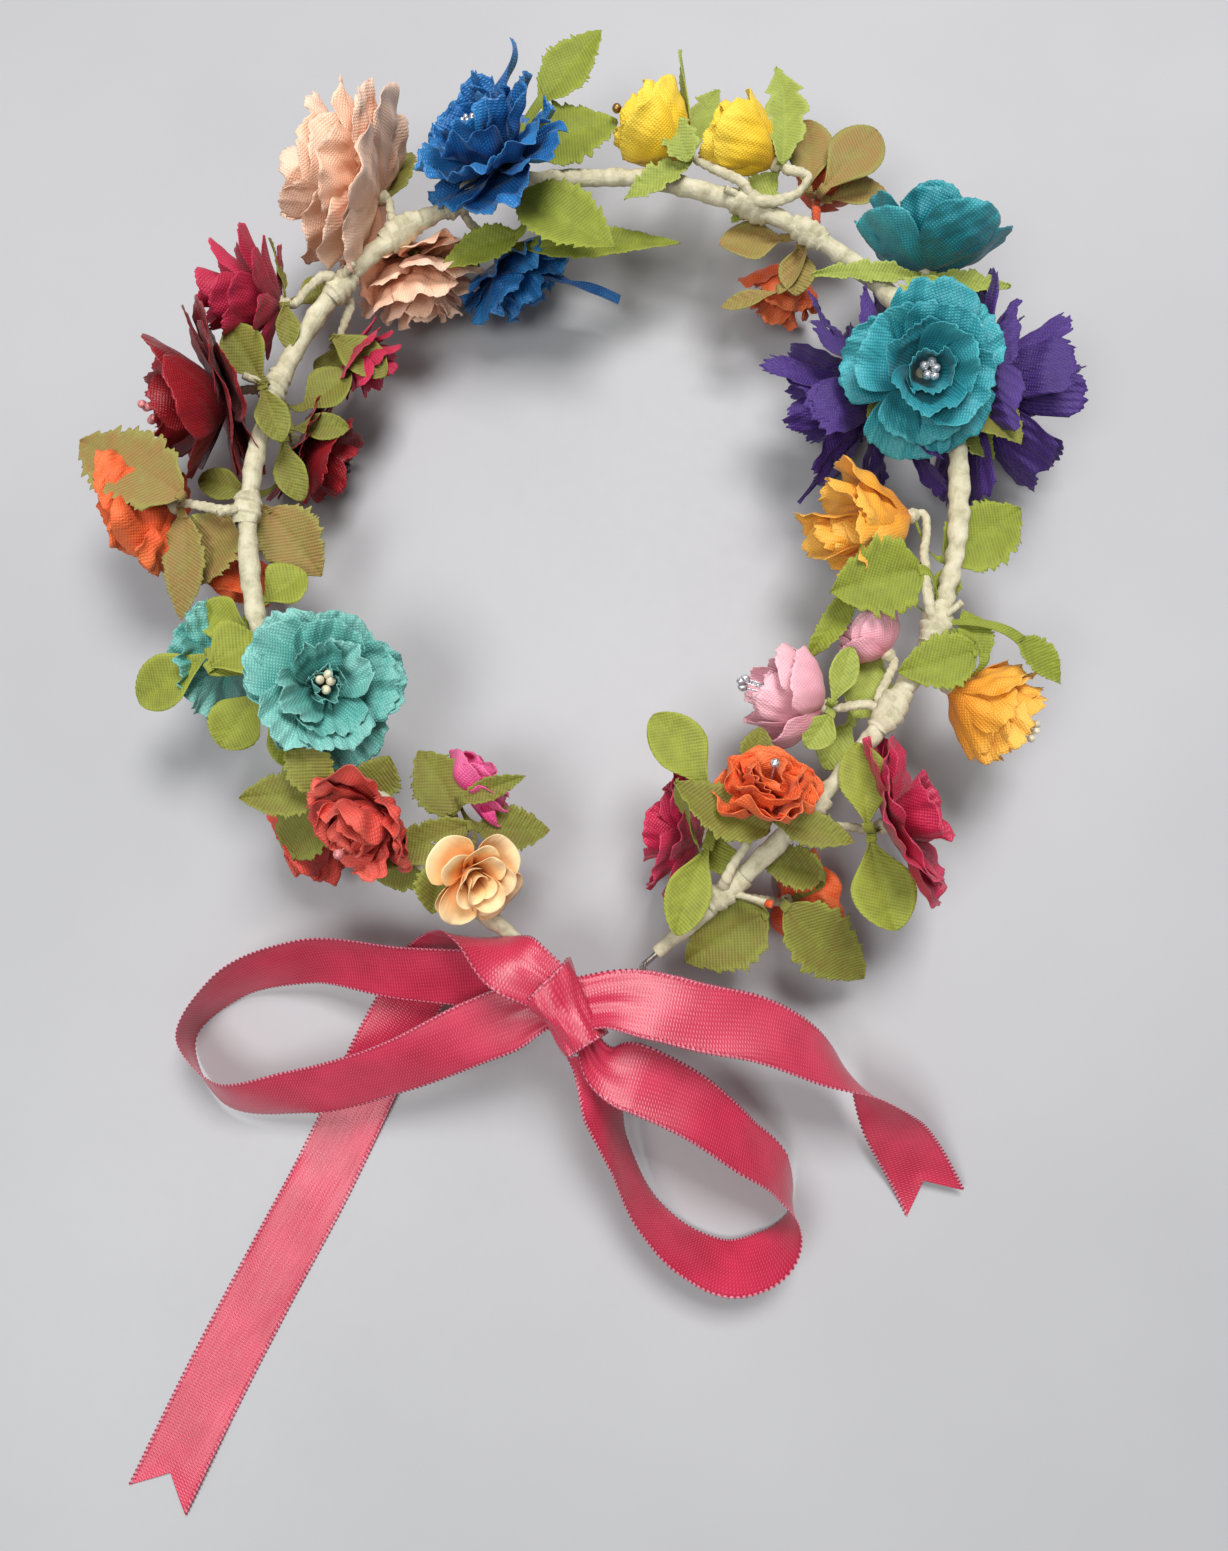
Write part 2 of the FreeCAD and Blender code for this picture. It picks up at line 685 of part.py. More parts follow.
def notched(strip, stations):
    """Cuts the swallow-tail notch in the free end of a tail."""
    frames = ribbon_frames(stations)
    end, across, through = frames[-1]
    ahead = through.cross(across)
    if ahead.dot(end - frames[-2][0]) < 0:
        ahead = ahead * -1
    half_width = dimension("ribbon_width") / 2
    beyond = end + ahead * 1.0
    thick = through * 4.0
    corners = [beyond + across * half_width, beyond - across * half_width]
    corners.append(end - ahead * dimension("notch_depth"))
    corners.append(corners[0])
    lowered = [corner - thick for corner in corners]
    wedge = Part.Face(Part.makePolygon(lowered)).extrude(thick * 2)
    return strip.cut(wedge)


def knot():
    """The tight wrap of ribbon in the middle of the bow, as a solid barrel."""
    barrel = document.addObject("Part::Ellipsoid", "ribbon_knot")
    barrel.Label = "ribbon_knot"
    barrel.Radius1 = KNOT_RADII[2]
    barrel.Radius2 = KNOT_RADII[0]
    barrel.Radius3 = KNOT_RADII[1]
    barrel.Placement = Placement(KNOT_CENTRE, Rotation(Vector(0, 0, 1), KNOT_HEADING))
    return barrel.Label


def band():
    """The ribbon gathered narrow where it is threaded through both eyes."""
    strip = document.addObject("Part::Box", "ribbon_band")
    strip.Label = "ribbon_band"
    run = BAND_END - BAND_START
    bind(strip, Width="Dimensions.band_width", Height="Dimensions.band_thickness")
    strip.Length = run.Length
    attitude = Rotation(Vector(1, 0, 0), run)
    middle = Vector(0, -dimension("band_width") / 2, -dimension("band_thickness") / 2)
    strip.Placement = Placement(BAND_START + attitude.multVec(middle), attitude)
    return strip.Label


def ribbon():
    """The bow: turn, loops and notched tails round the knot, and the band under it."""
    add_feature("ribbon_left_turn", ribbon_strip(LEFT_TURN))
    add_feature("ribbon_left_tail", notched(ribbon_strip(LEFT_TAIL), LEFT_TAIL))
    add_feature("ribbon_left_loop", ribbon_strip(LEFT_LOOP))
    add_feature("ribbon_right_tail", notched(ribbon_strip(RIGHT_TAIL), RIGHT_TAIL))
    add_feature("ribbon_right_loop", ribbon_strip(RIGHT_LOOP))
    strips = ["left_turn", "left_tail", "left_loop", "right_tail", "right_loop"]
    return [f"ribbon_{strip}" for strip in strips] + [knot(), band()]


def build():
    fill_sheet()
    nodes = ring_arc("left", LEFT_ARC) + ring_arc("right", RIGHT_ARC)
    for name, design in PICKS.items():
        nodes += pick(name, design)
    nodes += ribbon()
    document.recompute()
    return nodes


def check_and_write(nodes):
    """Stops on any failed object, then writes each node's shape to its own file."""
    for obj in document.Objects:
        if "Invalid" in obj.State or "Error" in obj.State:
            raise ValueError(f"{obj.Name} failed: {obj.State}")
    os.makedirs("parts", exist_ok=True)
    for name in nodes:
        shape = document.getObject(name).Shape
        if shape.isNull() or not shape.isValid() or not shape.Solids:
            raise ValueError(f"{name} has no valid solid")
        if name.endswith("_stem") and len(shape.Solids) != 1:
            raise ValueError(f"{name} is not one solid")
        shape.exportStep(f"parts/{name}.step")
        print(f"{name}: {len(shape.Solids)} solids, {shape.Volume:.1f} mm3")


check_and_write(build())
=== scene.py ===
import json
import math

import bmesh
import bpy
import numpy as np
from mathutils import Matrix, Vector


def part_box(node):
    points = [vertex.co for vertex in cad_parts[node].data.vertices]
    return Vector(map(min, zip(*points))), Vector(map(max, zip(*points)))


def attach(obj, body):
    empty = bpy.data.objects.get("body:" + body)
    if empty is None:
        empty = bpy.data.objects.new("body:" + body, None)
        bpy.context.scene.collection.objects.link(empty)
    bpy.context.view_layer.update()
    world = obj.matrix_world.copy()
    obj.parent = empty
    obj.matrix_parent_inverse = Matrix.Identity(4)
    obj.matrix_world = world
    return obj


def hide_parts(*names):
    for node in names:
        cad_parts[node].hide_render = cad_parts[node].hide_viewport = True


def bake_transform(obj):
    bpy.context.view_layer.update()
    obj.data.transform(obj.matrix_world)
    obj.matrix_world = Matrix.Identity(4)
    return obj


# The flower crown's looks: fabric flowers, leaves, taped ring and satin bow round the CAD frame.
# Shapes are worked out in millimetres and turned into metres when a mesh is made.

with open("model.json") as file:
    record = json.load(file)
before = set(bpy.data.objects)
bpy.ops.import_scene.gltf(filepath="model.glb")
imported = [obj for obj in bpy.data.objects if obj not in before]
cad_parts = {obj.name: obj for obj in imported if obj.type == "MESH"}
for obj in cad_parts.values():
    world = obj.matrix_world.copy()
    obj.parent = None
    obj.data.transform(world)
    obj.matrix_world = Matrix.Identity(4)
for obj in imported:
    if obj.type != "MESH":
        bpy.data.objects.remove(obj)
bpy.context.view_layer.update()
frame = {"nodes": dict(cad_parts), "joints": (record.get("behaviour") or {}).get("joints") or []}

MM = 0.001
FULL_TURN = 2 * math.pi
# The lowest that cloth lies over the table, and how much is left of what would pass through it
# or through a ceiling.
FLOOR_GAP = 0.35
FLOOR_PRESS = 0.04
CEILING_PRESS = 0.12
DEEPEST = 8


# ---- small helpers

def unit(vector):
    return vector / np.linalg.norm(vector)


def millimetres(point):
    return np.array(point, float) / MM


def box_middle(node):
    low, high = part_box(node)
    return millimetres((low + high) / 2)


def smooth_step(start, end, value):
    share = np.clip((value - start) / (end - start), 0, 1)
    return share * share * (3 - 2 * share)


def basis_about(axis):
    """Two unit vectors square to an axis, and the axis."""
    axis = unit(axis)
    helper = np.array((0.0, 0.0, 1.0)) if abs(axis[2]) < 0.9 else np.array((0.0, 1.0, 0.0))
    side = unit(np.cross(helper, axis))
    return side, np.cross(axis, side), axis


def down_rows(start, end, count):
    """Even values that change from row to row of a grid."""
    return np.linspace(start, end, count)[:, None]


def pair(first, second):
    """Two coordinates as one array over the grid that they span together."""
    return np.stack(np.broadcast_arrays(first, second), -1)


def moved(points, *moves):
    """Points moved by amounts, one for each place in a grid, along one direction or more."""
    for amounts, direction in moves:
        points = points + amounts[..., None] * direction
    return points


def distance_along(line):
    """How far each point of a line is from its start, along the line."""
    steps = np.linalg.norm(np.diff(line, axis=0), axis=1)
    return np.concatenate(([0], np.cumsum(steps)))


def headings(line):
    """The unit vector along a line at each of its points."""
    tangents = np.gradient(line, axis=0)
    return tangents / np.linalg.norm(tangents, axis=1)[:, None]


def above_floor(points, ceiling=None):
    """Presses what would pass through the table flat against it, or flat under a ceiling."""
    height = points[..., 2]
    pressed = FLOOR_GAP + FLOOR_PRESS * (height - FLOOR_GAP).clip(-DEEPEST)
    height = np.where(height < FLOOR_GAP, pressed, height)
    if ceiling:
        height = np.where(height > ceiling, ceiling + CEILING_PRESS * (height - ceiling), height)
    points[..., 2] = height
    return points


def spline(points, count):
    """Points evenly spread in parameter along a smooth curve through given points."""
    points = np.array(points, float)
    marks = distance_along(points[:, :3])
    slopes = np.gradient(points, marks, axis=0)
    at = np.linspace(0, marks[-1], count)
    index = np.clip(np.searchsorted(marks, at, side="right") - 1, 0, len(points) - 2)
    gap = (marks[index + 1] - marks[index])[:, None]
    share = ((at - marks[index])[:, None]) / gap
    start = 2 * share ** 3 - 3 * share ** 2 + 1
    leave = share ** 3 - 2 * share ** 2 + share
    end = 3 * share ** 2 - 2 * share ** 3
    arrive = share ** 3 - share ** 2
    return (start * points[index] + leave * gap * slopes[index]
            + end * points[index + 1] + arrive * gap * slopes[index + 1])


class Patchwork:
    """Collects grids of points in millimetres and makes one mesh of them."""

    def __init__(self):
        self.points = []
        self.faces = []
        self.cloth = []
        self.place = []
        self.slots = []
        self.total = 0

    def grid(self, points, cloth, place, closed=False, slot=0):
        """Adds a grid. Cloth is its weave coordinate in mm, and place runs along each patch."""
        rows, columns = points.shape[:2]
        index = np.arange(rows * columns).reshape(rows, columns) + self.total
        if closed:
            index = np.concatenate((index, index[:, :1]), axis=1)
        quads = np.stack((index[:-1, :-1], index[:-1, 1:], index[1:, 1:], index[1:, :-1]), -1)
        quads = quads.reshape(-1, 4)
        self.points.append(points.reshape(-1, 3))
        self.cloth.append(cloth.reshape(-1, 2))
        self.place.append(place.reshape(-1, 2))
        self.faces.append(quads)
        self.slots.append(np.full(len(quads), slot))
        self.total += rows * columns

    def piece(self, name, materials, thickness=None):
        """One object of all the grids, as cloth of a thickness in mm or as a closed body."""
        mesh = bpy.data.meshes.new(name)
        faces = np.concatenate(self.faces)
        mesh.from_pydata((np.concatenate(self.points) * MM).tolist(), [], faces.tolist())
        corner_points = faces.reshape(-1)
        for layer, values in (("cloth", self.cloth), ("place", self.place)):
            layer_values = np.concatenate(values)[corner_points]
            mesh.uv_layers.new(name=layer).data.foreach_set("uv", layer_values.ravel())
        mesh.polygons.foreach_set("use_smooth", np.ones(len(faces), bool))
        mesh.polygons.foreach_set("material_index", np.concatenate(self.slots))
        for material in materials:
            mesh.materials.append(material)
        mesh.update()
        piece = bpy.data.objects.new(name, mesh)
        bpy.context.scene.collection.objects.link(piece)
        if thickness:
            solid = piece.modifiers.new("thickness", "SOLIDIFY")
            solid.thickness = thickness * MM
            solid.offset = 0
        return piece


def tube(patch, path, radii, sides=16, slot=0, ridge=0.0, pitch=2.4, lobes=0.0, seed=0, cap=True):
    """A wrapped bar along a path: radii with helical ridges and an optional two-strand twist."""
    ridge_rise = 0.12
    strand_twist = 0.55
    crease_share = 0.35
    rows = len(path)
    along = distance_along(path)
    tangents = headings(path)
    side = basis_about(tangents[0])[0]
    around = np.linspace(0, FULL_TURN, sides, endpoint=False)
    waves = np.random.default_rng(seed).uniform(-1, 1, (5, 4))
    grid = np.zeros((rows, sides, 3))
    lobes = np.broadcast_to(lobes, rows)
    for row, tangent in enumerate(tangents):
        side = unit(side - tangent * (side @ tangent))
        upward = np.cross(tangent, side)
        turn = along[row] / pitch + around / FULL_TURN
        edge = turn - np.floor(turn)
        radius = radii[row] + ridge * (0.5 - edge) * smooth_step(0, ridge_rise, edge)
        radius = radius * (1 + lobes[row] * np.cos(2 * (around - along[row] * strand_twist)))
        for height, pace, phase, spin in waves:
            crease = np.sin(0.9 * pace * along[row] + 4 * phase + round(3 * spin) * around)
            radius = radius + ridge * crease_share * height * crease
        grid[row] = moved(path[row], (radius * np.cos(around), side), (radius * np.sin(around), upward))
    if cap:
        start, end = [np.repeat(point, sides, 1) for point in (path[:1, None], path[-1:, None])]
        grid = np.concatenate((start, grid, end))
        along = np.concatenate((along[:1], along, along[-1:]))
    cloth = pair(around * radii.mean(), along[:, None])
    place = pair(along[:, None] / max(along[-1], 1e-6), np.zeros(sides))
    patch.grid(grid, cloth, place, closed=True, slot=slot)


def bead(patch, centre, radii, axis, slot=0, rings=9, sides=14):
    """An oval bead, its first radius across and its second along an axis."""
    side, upward, axis = basis_about(axis)
    tilt = down_rows(0, math.pi, rings)
    turn = np.linspace(0, FULL_TURN, sides, endpoint=False)
    across = radii[0] * np.sin(tilt)
    points = moved(centre, (across * np.cos(turn), side), (across * np.sin(turn), upward),
                   (radii[1] * np.cos(tilt), axis))
    flat = pair(turn * radii[0], tilt * radii[1])
    patch.grid(above_floor(points), flat, flat * 0, closed=True, slot=slot)


# ---- materials

def tone(red, green, blue):
    """A colour in 0-255 display values, as the linear colour that a shader takes."""
    def linear(value):
        value = value / 255
        return value / 12.92 if value <= 0.04045 else ((value + 0.055) / 1.055) ** 2.4
    return (linear(red), linear(green), linear(blue), 1.0)


class Shader:
    """A material with a Principled shader, and short calls for the nodes round it."""

    def __init__(self, name, **settings):
        self.material = bpy.data.materials.new(name)
        self.material.use_nodes = True
        self.tree = self.material.node_tree
        self.main = self.tree.nodes["Principled BSDF"]
        for socket, value in settings.items():
            self.main.inputs[socket.replace("_", " ").title().replace("Ior", "IOR")].default_value = value

    def node(self, kind, **values):
        node = self.tree.nodes.new(kind)
        for key, value in values.items():
            setattr(node, key, value)
        return node

    def feed(self, socket, value):
        """Puts a constant on a socket, or links another node's output to it."""
        if isinstance(value, (int, float, tuple)):
            socket.default_value = value
        elif value is not None:
            self.tree.links.new(value, socket)

    def layer(self, name):
        return self.node("ShaderNodeUVMap", uv_map=name).outputs[0]

    def position(self):
        return self.node("ShaderNodeTexCoord").outputs["Object"]

    def parts(self, vector):
        split = self.node("ShaderNodeSeparateXYZ")
        self.feed(split.inputs[0], vector)
        return split.outputs

    def math(self, operation, *values):
        node = self.node("ShaderNodeMath", operation=operation)
        for socket, value in zip(node.inputs, values):
            self.feed(socket, value)
        return node.outputs[0]

    def times(self, value, factor):
        return self.math("MULTIPLY", value, factor)

    def times_plus(self, value, factor, added):
        return self.math("MULTIPLY_ADD", value, factor, added)

    def mapped(self, vector, setting, value):
        mapping = self.node("ShaderNodeMapping")
        mapping.inputs[setting].default_value = value
        self.feed(mapping.inputs["Vector"], vector)
        return mapping.outputs[0]

    def noise(self, vector, scale, detail, roughness, stretch=None):
        if stretch:
            vector = self.mapped(vector, "Scale", stretch)
        node = self.node("ShaderNodeTexNoise")
        node.inputs["Scale"].default_value = scale
        node.inputs["Detail"].default_value = detail
        node.inputs["Roughness"].default_value = roughness
        self.feed(node.inputs["Vector"], vector)
        return node.outputs["Fac"]

    def ramp(self, factor, *stops):
        node = self.node("ShaderNodeValToRGB")
        elements = node.color_ramp.elements
        while len(elements) < len(stops):
            elements.new(0.5)
        for element, (position, colour) in zip(elements, stops):
            element.position = position
            element.color = colour
        self.feed(node.inputs[0], factor)
        return node.outputs[0]

    def mix(self, factor, first, second):
        node = self.node("ShaderNodeMix", data_type="RGBA", blend_type="MIX")
        for socket, value in ((0, factor), (6, first), (7, second)):
            self.feed(node.inputs[socket], value)
        return node.outputs[2]

    def tint(self, colour, mask, share, towards):
        """Takes a colour some share of the way to another where a mask is full."""
        return self.mix(self.times(mask, share), colour, towards)

    def threads(self, vector, pitch, turn=0.0):
        """Parallel threads as a 0-1 wave across the weave coordinate, which is in millimetres."""
        across = self.parts(self.mapped(vector, "Rotation", (0, 0, math.radians(turn))))[0]
        return self.times_plus(self.math("SINE", self.times(across, FULL_TURN / pitch)), 0.5, 0.5)

    def bump(self, height, distance, strength, below=None):
        """A bump of a height in mm, laid over another one if given."""
        node = self.node("ShaderNodeBump")
        node.inputs["Distance"].default_value = distance * MM
        node.inputs["Strength"].default_value = strength
        self.feed(node.inputs["Height"], height)
        self.feed(node.inputs["Normal"], below)
        return node.outputs[0]

    def finish(self, colour, normal, roughness):
        self.feed(self.main.inputs["Base Color"], colour)
        self.feed(self.main.inputs["Normal"], normal)
        self.feed(self.main.inputs["Roughness"], roughness)
        return self.material


def petal_cloth(name, base, deep, light, rough):
    """Petal fabric: painted shade deepening towards the heart, painted highlight paling towards the rim,
    woven, with pressed veins.
    """
    shader = Shader(name, sheen_weight=0.12, sheen_roughness=0.4)
    cloth = shader.layer("cloth")
    along, chance, _ = shader.parts(shader.layer("place"))
    blotch = shader.noise(cloth, 0.16, 4, 0.6)
    heart_shade_to_rim_highlight = shader.times_plus(blotch, 0.7, shader.times(along, 0.65))
    heart_shade_to_rim_highlight = shader.math("ADD", heart_shade_to_rim_highlight, shader.times_plus(chance, 0.3, -0.28))
    # The ramp runs from painted shade at each petal's heart to painted highlight at its rim, varied by random
    # blotches.
    colour = shader.ramp(heart_shade_to_rim_highlight, (0.12, deep), (0.55, base), (0.98, light))
    weft = shader.threads(cloth, 0.74, 24)
    warp = shader.threads(cloth, 0.68, 114)
    threads = shader.times(weft, warp)
    # Painted highlight where the threads cross, and painted shade in the gaps between them.
    colour = shader.tint(colour, threads, 0.5, light)
    colour = shader.tint(colour, shader.math("SUBTRACT", 1.0, threads), 0.28, deep)
    vein = shader.noise(cloth, 1.0, 3, 0.55, stretch=(1.1, 0.12, 1))
    normal = shader.bump(threads, 0.12, 0.9, shader.bump(vein, 0.4, 0.7))
    return shader.finish(colour, normal, shader.times_plus(vein, 0.25, rough - 0.12))


def paper_petal(name, base, deep, light):
    """Smooth paper petals: painted shade deepening towards each petal's base, painted highlight paling
    towards its rim.
    """
    shader = Shader(name)
    cloth = shader.layer("cloth")
    along, chance, _ = shader.parts(shader.layer("place"))
    blotch = shader.noise(cloth, 0.3, 3, 0.5)
    heart_shade_to_rim_highlight = shader.times_plus(blotch, 0.3, shader.times(along, 0.9))
    heart_shade_to_rim_highlight = shader.math("ADD", heart_shade_to_rim_highlight, shader.times_plus(chance, 0.25, -0.2))
    # The ramp runs from painted shade at each petal's base to painted highlight at its rim, varied by random
    # blotches.
    colour = shader.ramp(heart_shade_to_rim_highlight, (0.15, deep), (0.6, base), (0.95, light))
    grain = shader.noise(cloth, 3.5, 4, 0.7)
    crease = shader.noise(cloth, 0.9, 2, 0.5, stretch=(1.0, 0.15, 1))
    normal = shader.bump(grain, 0.05, 0.6, shader.bump(crease, 0.25, 0.6))
    return shader.finish(colour, normal, shader.times_plus(grain, 0.2, 0.55))


def leaf_cloth(name, base, edge, tint):
    """Printed leaf taffeta: fine slanting ribs with painted highlight on them and painted shade between the
    cross threads, a paler rim and brownish clouds.
    """
    shader = Shader(name, sheen_weight=0.1, sheen_roughness=0.5)
    cloth = shader.layer("cloth")
    from_rib = shader.parts(shader.layer("place"))[1]
    clouds = shader.noise(cloth, 0.13, 4, 0.6)
    colour = shader.ramp(clouds, (0.3, tint), (0.55, base), (0.8, edge))
    rim = shader.ramp(from_rib, (0.72, (0, 0, 0, 1)), (1.0, (0.8, 0.8, 0.8, 1)))
    colour = shader.mix(rim, colour, edge)
    ribs = shader.threads(cloth, 0.78, 62)
    cross = shader.threads(cloth, 0.66, -28)
    threads = shader.times_plus(cross, 0.4, ribs)
    # Painted highlight on the ribs, and painted shade between the cross threads.
    colour = shader.tint(colour, ribs, 0.42, edge)
    colour = shader.tint(colour, shader.math("SUBTRACT", 1.0, cross), 0.25, tint)
    vein = shader.noise(cloth, 0.7, 2, 0.5, stretch=(0.5, 0.2, 1))
    normal = shader.bump(threads, 0.09, 0.9, shader.bump(vein, 0.5, 0.6))
    return shader.finish(colour, normal, shader.times_plus(vein, 0.2, 0.55))


def satin(name):
    """Satin ribbon: a close twill with a soft shine and painted highlight on its dots, ribbed selvedges, and
    picot loops with painted highlight on them and painted shade between them.
    """
    selvedge_start = 7.1
    picot_start = 7.5
    shader = Shader(name, sheen_weight=0.12, sheen_roughness=0.3, anisotropic=0.6, specular_ior_level=0.65)
    cloth = shader.layer("cloth")
    from_middle = shader.math("ABSOLUTE", shader.parts(cloth)[0])
    cloud = shader.noise(cloth, 0.08, 3, 0.5)
    colour = shader.ramp(cloud, (0.3, tone(172, 28, 57)), (0.7, tone(202, 45, 78)))
    twill = shader.threads(cloth, 0.62, 52)
    weft = shader.threads(cloth, 0.7, 90)
    weave_dots_and_highlight = shader.times(twill, weft)
    # The twill's dots carry painted highlight.
    colour = shader.tint(colour, weave_dots_and_highlight, 0.55, tone(238, 93, 123))
    rim = shader.math("GREATER_THAN", from_middle, picot_start)
    selvedge = shader.times(shader.math("GREATER_THAN", from_middle, selvedge_start),
                            shader.math("LESS_THAN", from_middle, picot_start))
    loops = shader.threads(cloth, PICOT_PITCH, 90)
    colour = shader.tint(colour, selvedge, 0.35, tone(150, 22, 52))
    # Painted highlight on the picot loops and painted shade between them.
    picot_highlight_and_shade = shader.mix(loops, tone(118, 14, 40), tone(246, 130, 156))
    colour = shader.tint(colour, rim, 0.85, picot_highlight_and_shade)
    ridge = shader.times(loops, shader.math("GREATER_THAN", from_middle, 7.0))
    height = shader.times_plus(ridge, 2.2, shader.times(weave_dots_and_highlight, 0.9))
    streaks = shader.noise(cloth, 1.0, 2, 0.5, stretch=(1.4, 0.06, 1))
    normal = shader.bump(height, 0.05, 0.9, shader.bump(streaks, 0.10, 0.5))
    return shader.finish(colour, normal, shader.times_plus(streaks, 0.18, 0.28))


def paper_tape(name):
    """Cream crepe tape: fine lengthways crinkles darkened with painted shade, and random blotches of painted
    shade and painted highlight.
    """
    shader = Shader(name)
    cloth = shader.layer("cloth")
    painted_shade_and_highlight = shader.noise(cloth, 0.22, 4, 0.65)
    # Random blotches from painted shade through the tape's cream to painted highlight.
    colour = shader.ramp(painted_shade_and_highlight, (0.25, tone(150, 144, 112)), (0.5, tone(214, 206, 176)),
                         (0.8, tone(238, 232, 210)))
    crinkle = shader.noise(cloth, 1.6, 4, 0.65, stretch=(1.0, 0.3, 1))
    # The crinkles are darkened with painted shade.
    colour = shader.tint(colour, crinkle, 0.35, tone(168, 162, 128))
    fibre = shader.noise(cloth, 5.0, 3, 0.7)
    normal = shader.bump(fibre, 0.05, 0.8, shader.bump(crinkle, 0.35, 0.8))
    return shader.finish(colour, normal, shader.times_plus(fibre, 0.15, 0.72))


def bead_finish(name, base, deep, metallic, rough):
    """A bead's coat: pearl, glitter or metal, broken by fine grains."""
    shader = Shader(name, metallic=metallic, coat_weight=0.4)
    grains = shader.noise(shader.position(), 1800, 3, 0.7)
    colour = shader.ramp(grains, (0.35, deep), (0.6, base))
    return shader.finish(colour, shader.bump(grains, 0.12, 0.8), shader.times_plus(grains, 0.3, rough))


def steel(name):
    """Drawn steel wire with fine scratches and dull patches."""
    shader = Shader(name, metallic=1.0)
    grain = shader.noise(shader.position(), 900, 3, 0.6)
    colour = shader.ramp(grain, (0.3, tone(150, 148, 142)), (0.7, tone(206, 205, 200)))
    return shader.finish(colour, shader.bump(grain, 0.04, 0.5), shader.times_plus(grain, 0.25, 0.25))


# Petal tones as base, deep and light, the deep tone a painted shade and the light tone a painted highlight,
# and leaf tones as base, edge and tint.
PETAL_TONES = {
    "cream": ((248, 200, 136), (228, 138, 62), (255, 226, 178)),
    "hot_pink": ((236, 62, 140), (182, 22, 92), (250, 128, 178)),
    "coral": ((220, 66, 54), (150, 24, 22), (240, 110, 92)),
    "aqua": ((86, 172, 162), (28, 98, 96), (150, 214, 204)),
    "orange": ((240, 88, 32), (178, 44, 10), (252, 132, 70)),
    "crimson": ((134, 4, 18), (70, 1, 6), (174, 20, 36)),
    "cherry": ((182, 14, 58), (108, 2, 28), (220, 50, 92)),
    "peach": ((252, 204, 170), (236, 156, 112), (255, 228, 206)),
    "blue": ((14, 92, 164), (3, 30, 76), (50, 142, 210)),
    "yellow": ((248, 204, 26), (212, 150, 4), (255, 230, 84)),
    "vermilion": ((232, 90, 36), (168, 44, 12), (248, 134, 78)),
    "teal": ((20, 132, 148), (4, 74, 86), (74, 184, 194)),
    "purple": ((54, 22, 106), (22, 7, 52), (84, 50, 140)),
    "amber": ((250, 168, 34), (210, 112, 6), (255, 204, 92)),
    "pink": ((246, 178, 194), (222, 124, 144), (254, 212, 220)),
    "raspberry": ((202, 30, 74), (122, 6, 34), (230, 72, 112)),
    "tangerine": ((240, 94, 34), (190, 50, 10), (252, 136, 74)),
}
LEAF_TONES = {
    "lime": ((142, 150, 44), (166, 174, 66), (110, 112, 30)),
    "green": ((132, 144, 36), (158, 168, 56), (104, 112, 26)),
    "olive": ((116, 120, 36), (146, 152, 58), (112, 88, 34)),
    "brown": ((140, 122, 60), (152, 156, 76), (156, 100, 58)),
    "pale": ((150, 162, 66), (178, 190, 94), (122, 132, 46)),
}
# Beads: tone, tone between the grains, how metallic and how rough.
BEAD_FINISHES = {
    "pearl": ((240, 232, 208), (206, 194, 160), 0.0, 0.25),
    "rose_pearl": ((232, 150, 150), (170, 80, 84), 0.1, 0.25),
    "dark_pearl": ((52, 20, 20), (20, 6, 8), 0.1, 0.35),
    "silver": ((240, 240, 244), (120, 122, 130), 0.6, 0.15),
    "gold": ((190, 150, 84), (112, 82, 38), 0.9, 0.2),
}
GLOSSY_PETALS = ("aqua", "teal", "blue", "raspberry", "crimson")


def all_materials():
    finishes = {}
    for name, tones in PETAL_TONES.items():
        shades = [tone(*shade) for shade in tones]
        if name == "cream":
            finishes[name] = paper_petal(name, *shades)
        else:
            finishes[name] = petal_cloth(name, *shades, rough=0.42 if name in GLOSSY_PETALS else 0.6)
    for name, tones in LEAF_TONES.items():
        finishes[f"{name}_leaf"] = leaf_cloth(f"{name}_leaf", *[tone(*shade) for shade in tones])
    finishes["satin"] = satin("satin")
    finishes["tape"] = paper_tape("tape")
    finishes["steel"] = steel("steel")
    for name, (base, deep, metallic, rough) in BEAD_FINISHES.items():
        finishes[name] = bead_finish(name, tone(*base), tone(*deep), metallic, rough)
    return finishes


# ---- what the frame says

def islands(node):
    """The separate solids of a CAD node, as their points and their faces' normals and areas, in
    an order that is the same each run."""
    mesh = bmesh.new()
    mesh.from_mesh(frame["nodes"][node].data)
    bmesh.ops.remove_doubles(mesh, verts=mesh.verts, dist=1e-6)
    mesh.faces.index_update()
    seen = set()
    found = []
    for start in mesh.verts:
        if start in seen:
            continue
        seen.add(start)
        stack = [start]
        members = []
        while stack:
            vertex = stack.pop()
            members.append(vertex)
            for edge in vertex.link_edges:
                other = edge.other_vert(vertex)
                if other not in seen:
                    seen.add(other)
                    stack.append(other)
        faces = {face.index: face for vertex in members for face in vertex.link_faces}
        points = np.array([vertex.co for vertex in members]) / MM
        found.append((points, [(np.array(faces[index].normal), faces[index].calc_area() / MM ** 2)
                               for index in sorted(faces)]))
    mesh.free()
    return found


def cone_of(points, faces):
    """A flower cone's hub, axis, rim radius and depth. Its rim is its largest flat face."""
    areas = {}
    for normal, area in faces:
        key = tuple(np.round(normal, 2))
        areas.setdefault(key, [0.0, normal])
        areas[key][0] += area
    axis = unit(max(areas.values(), key=lambda entry: entry[0])[1])
    heights = points @ axis
    hub = points[heights < heights.min() + 0.05].mean(0)
    radial = points - hub
    radial = radial - np.outer(radial @ axis, axis)
    return {
        "hub": hub, "axis": axis, "depth": heights.max() - heights.min(),
        "radius": np.linalg.norm(radial, axis=1).max(),
    }


